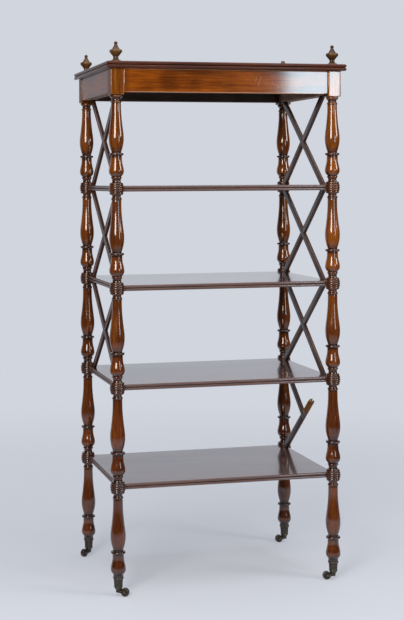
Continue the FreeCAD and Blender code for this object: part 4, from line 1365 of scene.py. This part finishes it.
class WHATNOT_OT_castors(bpy.types.Operator):
    """Casts the sockets, horns and wheels of the four castors and drives their screws"""

    bl_idname = "whatnot.castors"
    bl_label = "Castors"

    def execute(self, context):
        sizes, finish = context.scene.whatnot_sizes, context.scene.whatnot_finish
        metal = brass("castor_brass", finish.brass_bright, finish.brass_dull)
        step, rivet_step = (share * sizes.turning_step / MM for share in (CASTOR_FINENESS, RIVET_FINENESS))
        hubs = {joint["name"]: Vector(joint["pos_m"]) for joint in frame["joints"]}
        for corner in CORNERS:
            axis = box_centre(f"{corner}_leg")
            hub = hubs[f"{corner}_wheel_roll"]
            heading = math.atan2(hub.y - axis.y, hub.x - axis.x)
            socket = spun(traced(SOCKET_OUTLINE, step), metal, CASTOR_FACETS, (axis.x, axis.y, 0.0))
            wheel = spun(traced(WHEEL_OUTLINE, step), metal, CASTOR_FACETS, hub, (math.pi / 2, 0.0, heading))
            boss = spun(traced(HORN_OUTLINE, step), metal, HORN_FACETS)
            cheeks = [cheek(low_y, metal) for low_y in (CHEEK_INNER, -CHEEK_INNER - CHEEK_THICKNESS)]
            horn = united([boss, *cheeks], metal)
            horn.transform(Matrix.Translation((axis.x, axis.y, 0.0)) @ Matrix.Rotation(heading, 4, "Z"))
            rivets = [spun(traced(RIVET_OUTLINE, rivet_step), metal, RIVET_FACETS, hub, (turn, 0.0, heading))
                      for turn in (math.pi / 2, -math.pi / 2)]
            for part, mesh, body in (("socket", socket, ROOT_BODY), ("wheel", wheel, f"{corner}_wheel"),
                                     ("horn", merged([horn, *rivets]), f"{corner}_castor")):
                set_piece(f"{corner}_castor_{part}", mesh, body, "brass")
        self.drive_screws(metal)
        return {"FINISHED"}

    def drive_screws(self, metal):
        points, outward = [], []
        for corner in CORNERS:
            axis = box_centre(f"{corner}_leg")
            for angle in SCREW_ANGLES:
                out = Vector((math.cos(math.radians(angle)), math.sin(math.radians(angle)), 0.0))
                points.append(Vector((axis.x, axis.y, SCREW_HEIGHT * MM)) + out * SCREW_SEAT * MM)
                outward.extend(out)
        seats = bpy.data.meshes.new("seats")
        seats.from_pydata(points, [], [])
        seats.attributes.new("outward", "FLOAT_VECTOR", "POINT").data.foreach_set("vector", outward)
        pattern = linked("pattern_screw", slotted_screw(metal))
        mesh = grown(seats, screws_tree(), {"Screw": pattern, "Finish": metal})
        bpy.data.objects.remove(pattern)
        set_piece("castor_screws", mesh, surface="brass")


def floor_finish(studio):
    """A pale floor that keeps a soft shadow and melts into the backdrop at its edge."""
    material, wire, shader = new_finish("studio_floor")
    wire.fill(shader, {"Base Color": studio.floor, "Roughness": 0.9, "Specular IOR Level": 0.1})
    glow = wire.result("ShaderNodeEmission", {"Color": studio.backdrop, "Strength": 1.0})
    share = wire.math("MULTIPLY", wire.sight()[0], studio.floor_glow)
    lit = wire.result("ShaderNodeMixShader", {0: share, 1: shader.outputs[0], 2: glow})
    clear = wire.result("ShaderNodeBsdfTransparent")
    distance = wire.vector("LENGTH", {0: wire.place()}, "Value")
    blend = wire.result("ShaderNodeMixShader", {0: wire.remap(distance, *FLOOR_FADE), 1: lit, 2: clear})
    wire.fill(material.node_tree.nodes["Material Output"], {"Surface": blend})
    return material


class WHATNOT_OT_stage(bpy.types.Operator):
    """Lays the floor, sets the backdrop, the softboxes and a lit card, and stands the camera"""

    bl_idname = "whatnot.stage"
    bl_label = "Stage"

    def execute(self, context):
        studio = context.scene.whatnot_studio
        self.lay_floor(studio)
        self.light_backdrop(context.scene, studio)
        for name in LAMPS:
            self.hang_lamp(name, getattr(studio, name), *LAMPS[name])
        self.stand_camera(context.scene, studio)
        context.scene.view_settings.view_transform = "Standard"
        return {"FINISHED"}

    def lay_floor(self, studio):
        bm = bmesh.new()
        bmesh.ops.create_circle(bm, cap_ends=True, segments=FLOOR_SEGMENTS, radius=FLOOR_RADIUS)
        linked("studio_floor", mesh_from(bm, floor_finish(studio)))

    def light_backdrop(self, scene, studio):
        """An even light, with the backdrop in view and a dim room in the reflections of the other side."""
        scene.world = bpy.data.worlds.new("studio")
        scene.world.use_nodes = True
        wire = Wiring(scene.world.node_tree)
        seen, mirrored = wire.sight()
        to_back = wire.part(wire.result("ShaderNodeTexCoord", output="Generated"), "Y")
        dim = shaded(studio.backdrop, studio.room)
        room = wire.mix(wire.remap(to_back, *LIT_BACK), dim, studio.backdrop)
        shown = wire.mix(mirrored, studio.backdrop, room)
        colour = wire.mix(seen, shaded(EVEN_TINT, studio.ambient), shown)
        wire.fill(scene.world.node_tree.nodes["Background"], {"Color": colour})

    def hang_lamp(self, name, power, place, width, height, tint):
        lamp = bpy.data.lights.new(name, "AREA")
        lamp.color = tint
        lamp.shape = "RECTANGLE"
        lamp.size, lamp.size_y = width, height
        lamp.energy = power
        box = linked(name, lamp)
        box.location = place
        box.rotation_euler = (Vector(AIM) - Vector(place)).to_track_quat("-Z", "Y").to_euler()
        box.visible_camera = False

    def stand_camera(self, scene, studio):
        lens = bpy.data.cameras.new("camera")
        lens.lens = studio.lens
        lens.sensor_width = SENSOR
        lens.shift_x, lens.shift_y = studio.camera_shift
        yaw, pitch, roll = studio.camera_turn
        turns = ((-yaw, "Z"), (math.pi / 2 + pitch, "X"), (-roll, "Z"))
        stand = Matrix.Translation(studio.camera_place)
        for angle, axis in turns:
            stand = stand @ Matrix.Rotation(angle, 4, axis)
        scene.camera = linked("camera", lens)
        scene.camera.matrix_world = stand


class WHATNOT_PT_maker(bpy.types.Panel):
    """Lists the steps that build the whatnot"""

    bl_idname = "WHATNOT_PT_maker"
    bl_label = "Whatnot"
    bl_space_type = "VIEW_3D"
    bl_region_type = "UI"
    bl_category = "Whatnot"

    def draw(self, context):
        for operator in OPERATORS:
            self.layout.operator(operator.bl_idname)
        for group in GROUPS:
            values = getattr(context.scene, group)
            box = self.layout.box()
            for name in values.__annotations__:
                box.prop(values, name)


GROUPS = {"whatnot_sizes": WhatnotSizes, "whatnot_finish": WhatnotFinish, "whatnot_studio": WhatnotStudio}
OPERATORS = (
    WHATNOT_OT_uprights,
    WHATNOT_OT_boards,
    WHATNOT_OT_frieze,
    WHATNOT_OT_bars,
    WHATNOT_OT_finials,
    WHATNOT_OT_castors,
    WHATNOT_OT_stage,
)


def register():
    for name, group in GROUPS.items():
        bpy.utils.register_class(group)
        setattr(bpy.types.Scene, name, PointerProperty(type=group))
    for cls in (*OPERATORS, WHATNOT_PT_maker):
        bpy.utils.register_class(cls)


def unregister():
    for cls in (WHATNOT_PT_maker, *OPERATORS[::-1]):
        bpy.utils.unregister_class(cls)
    for name, group in GROUPS.items():
        delattr(bpy.types.Scene, name)
        bpy.utils.unregister_class(group)


def main():
    register()
    bpy.ops.whatnot.uprights()
    bpy.ops.whatnot.boards()
    bpy.ops.whatnot.frieze()
    bpy.ops.whatnot.bars()
    bpy.ops.whatnot.finials()
    bpy.ops.whatnot.castors()
    bpy.ops.whatnot.stage()


if __name__ == "__main__":
    main()
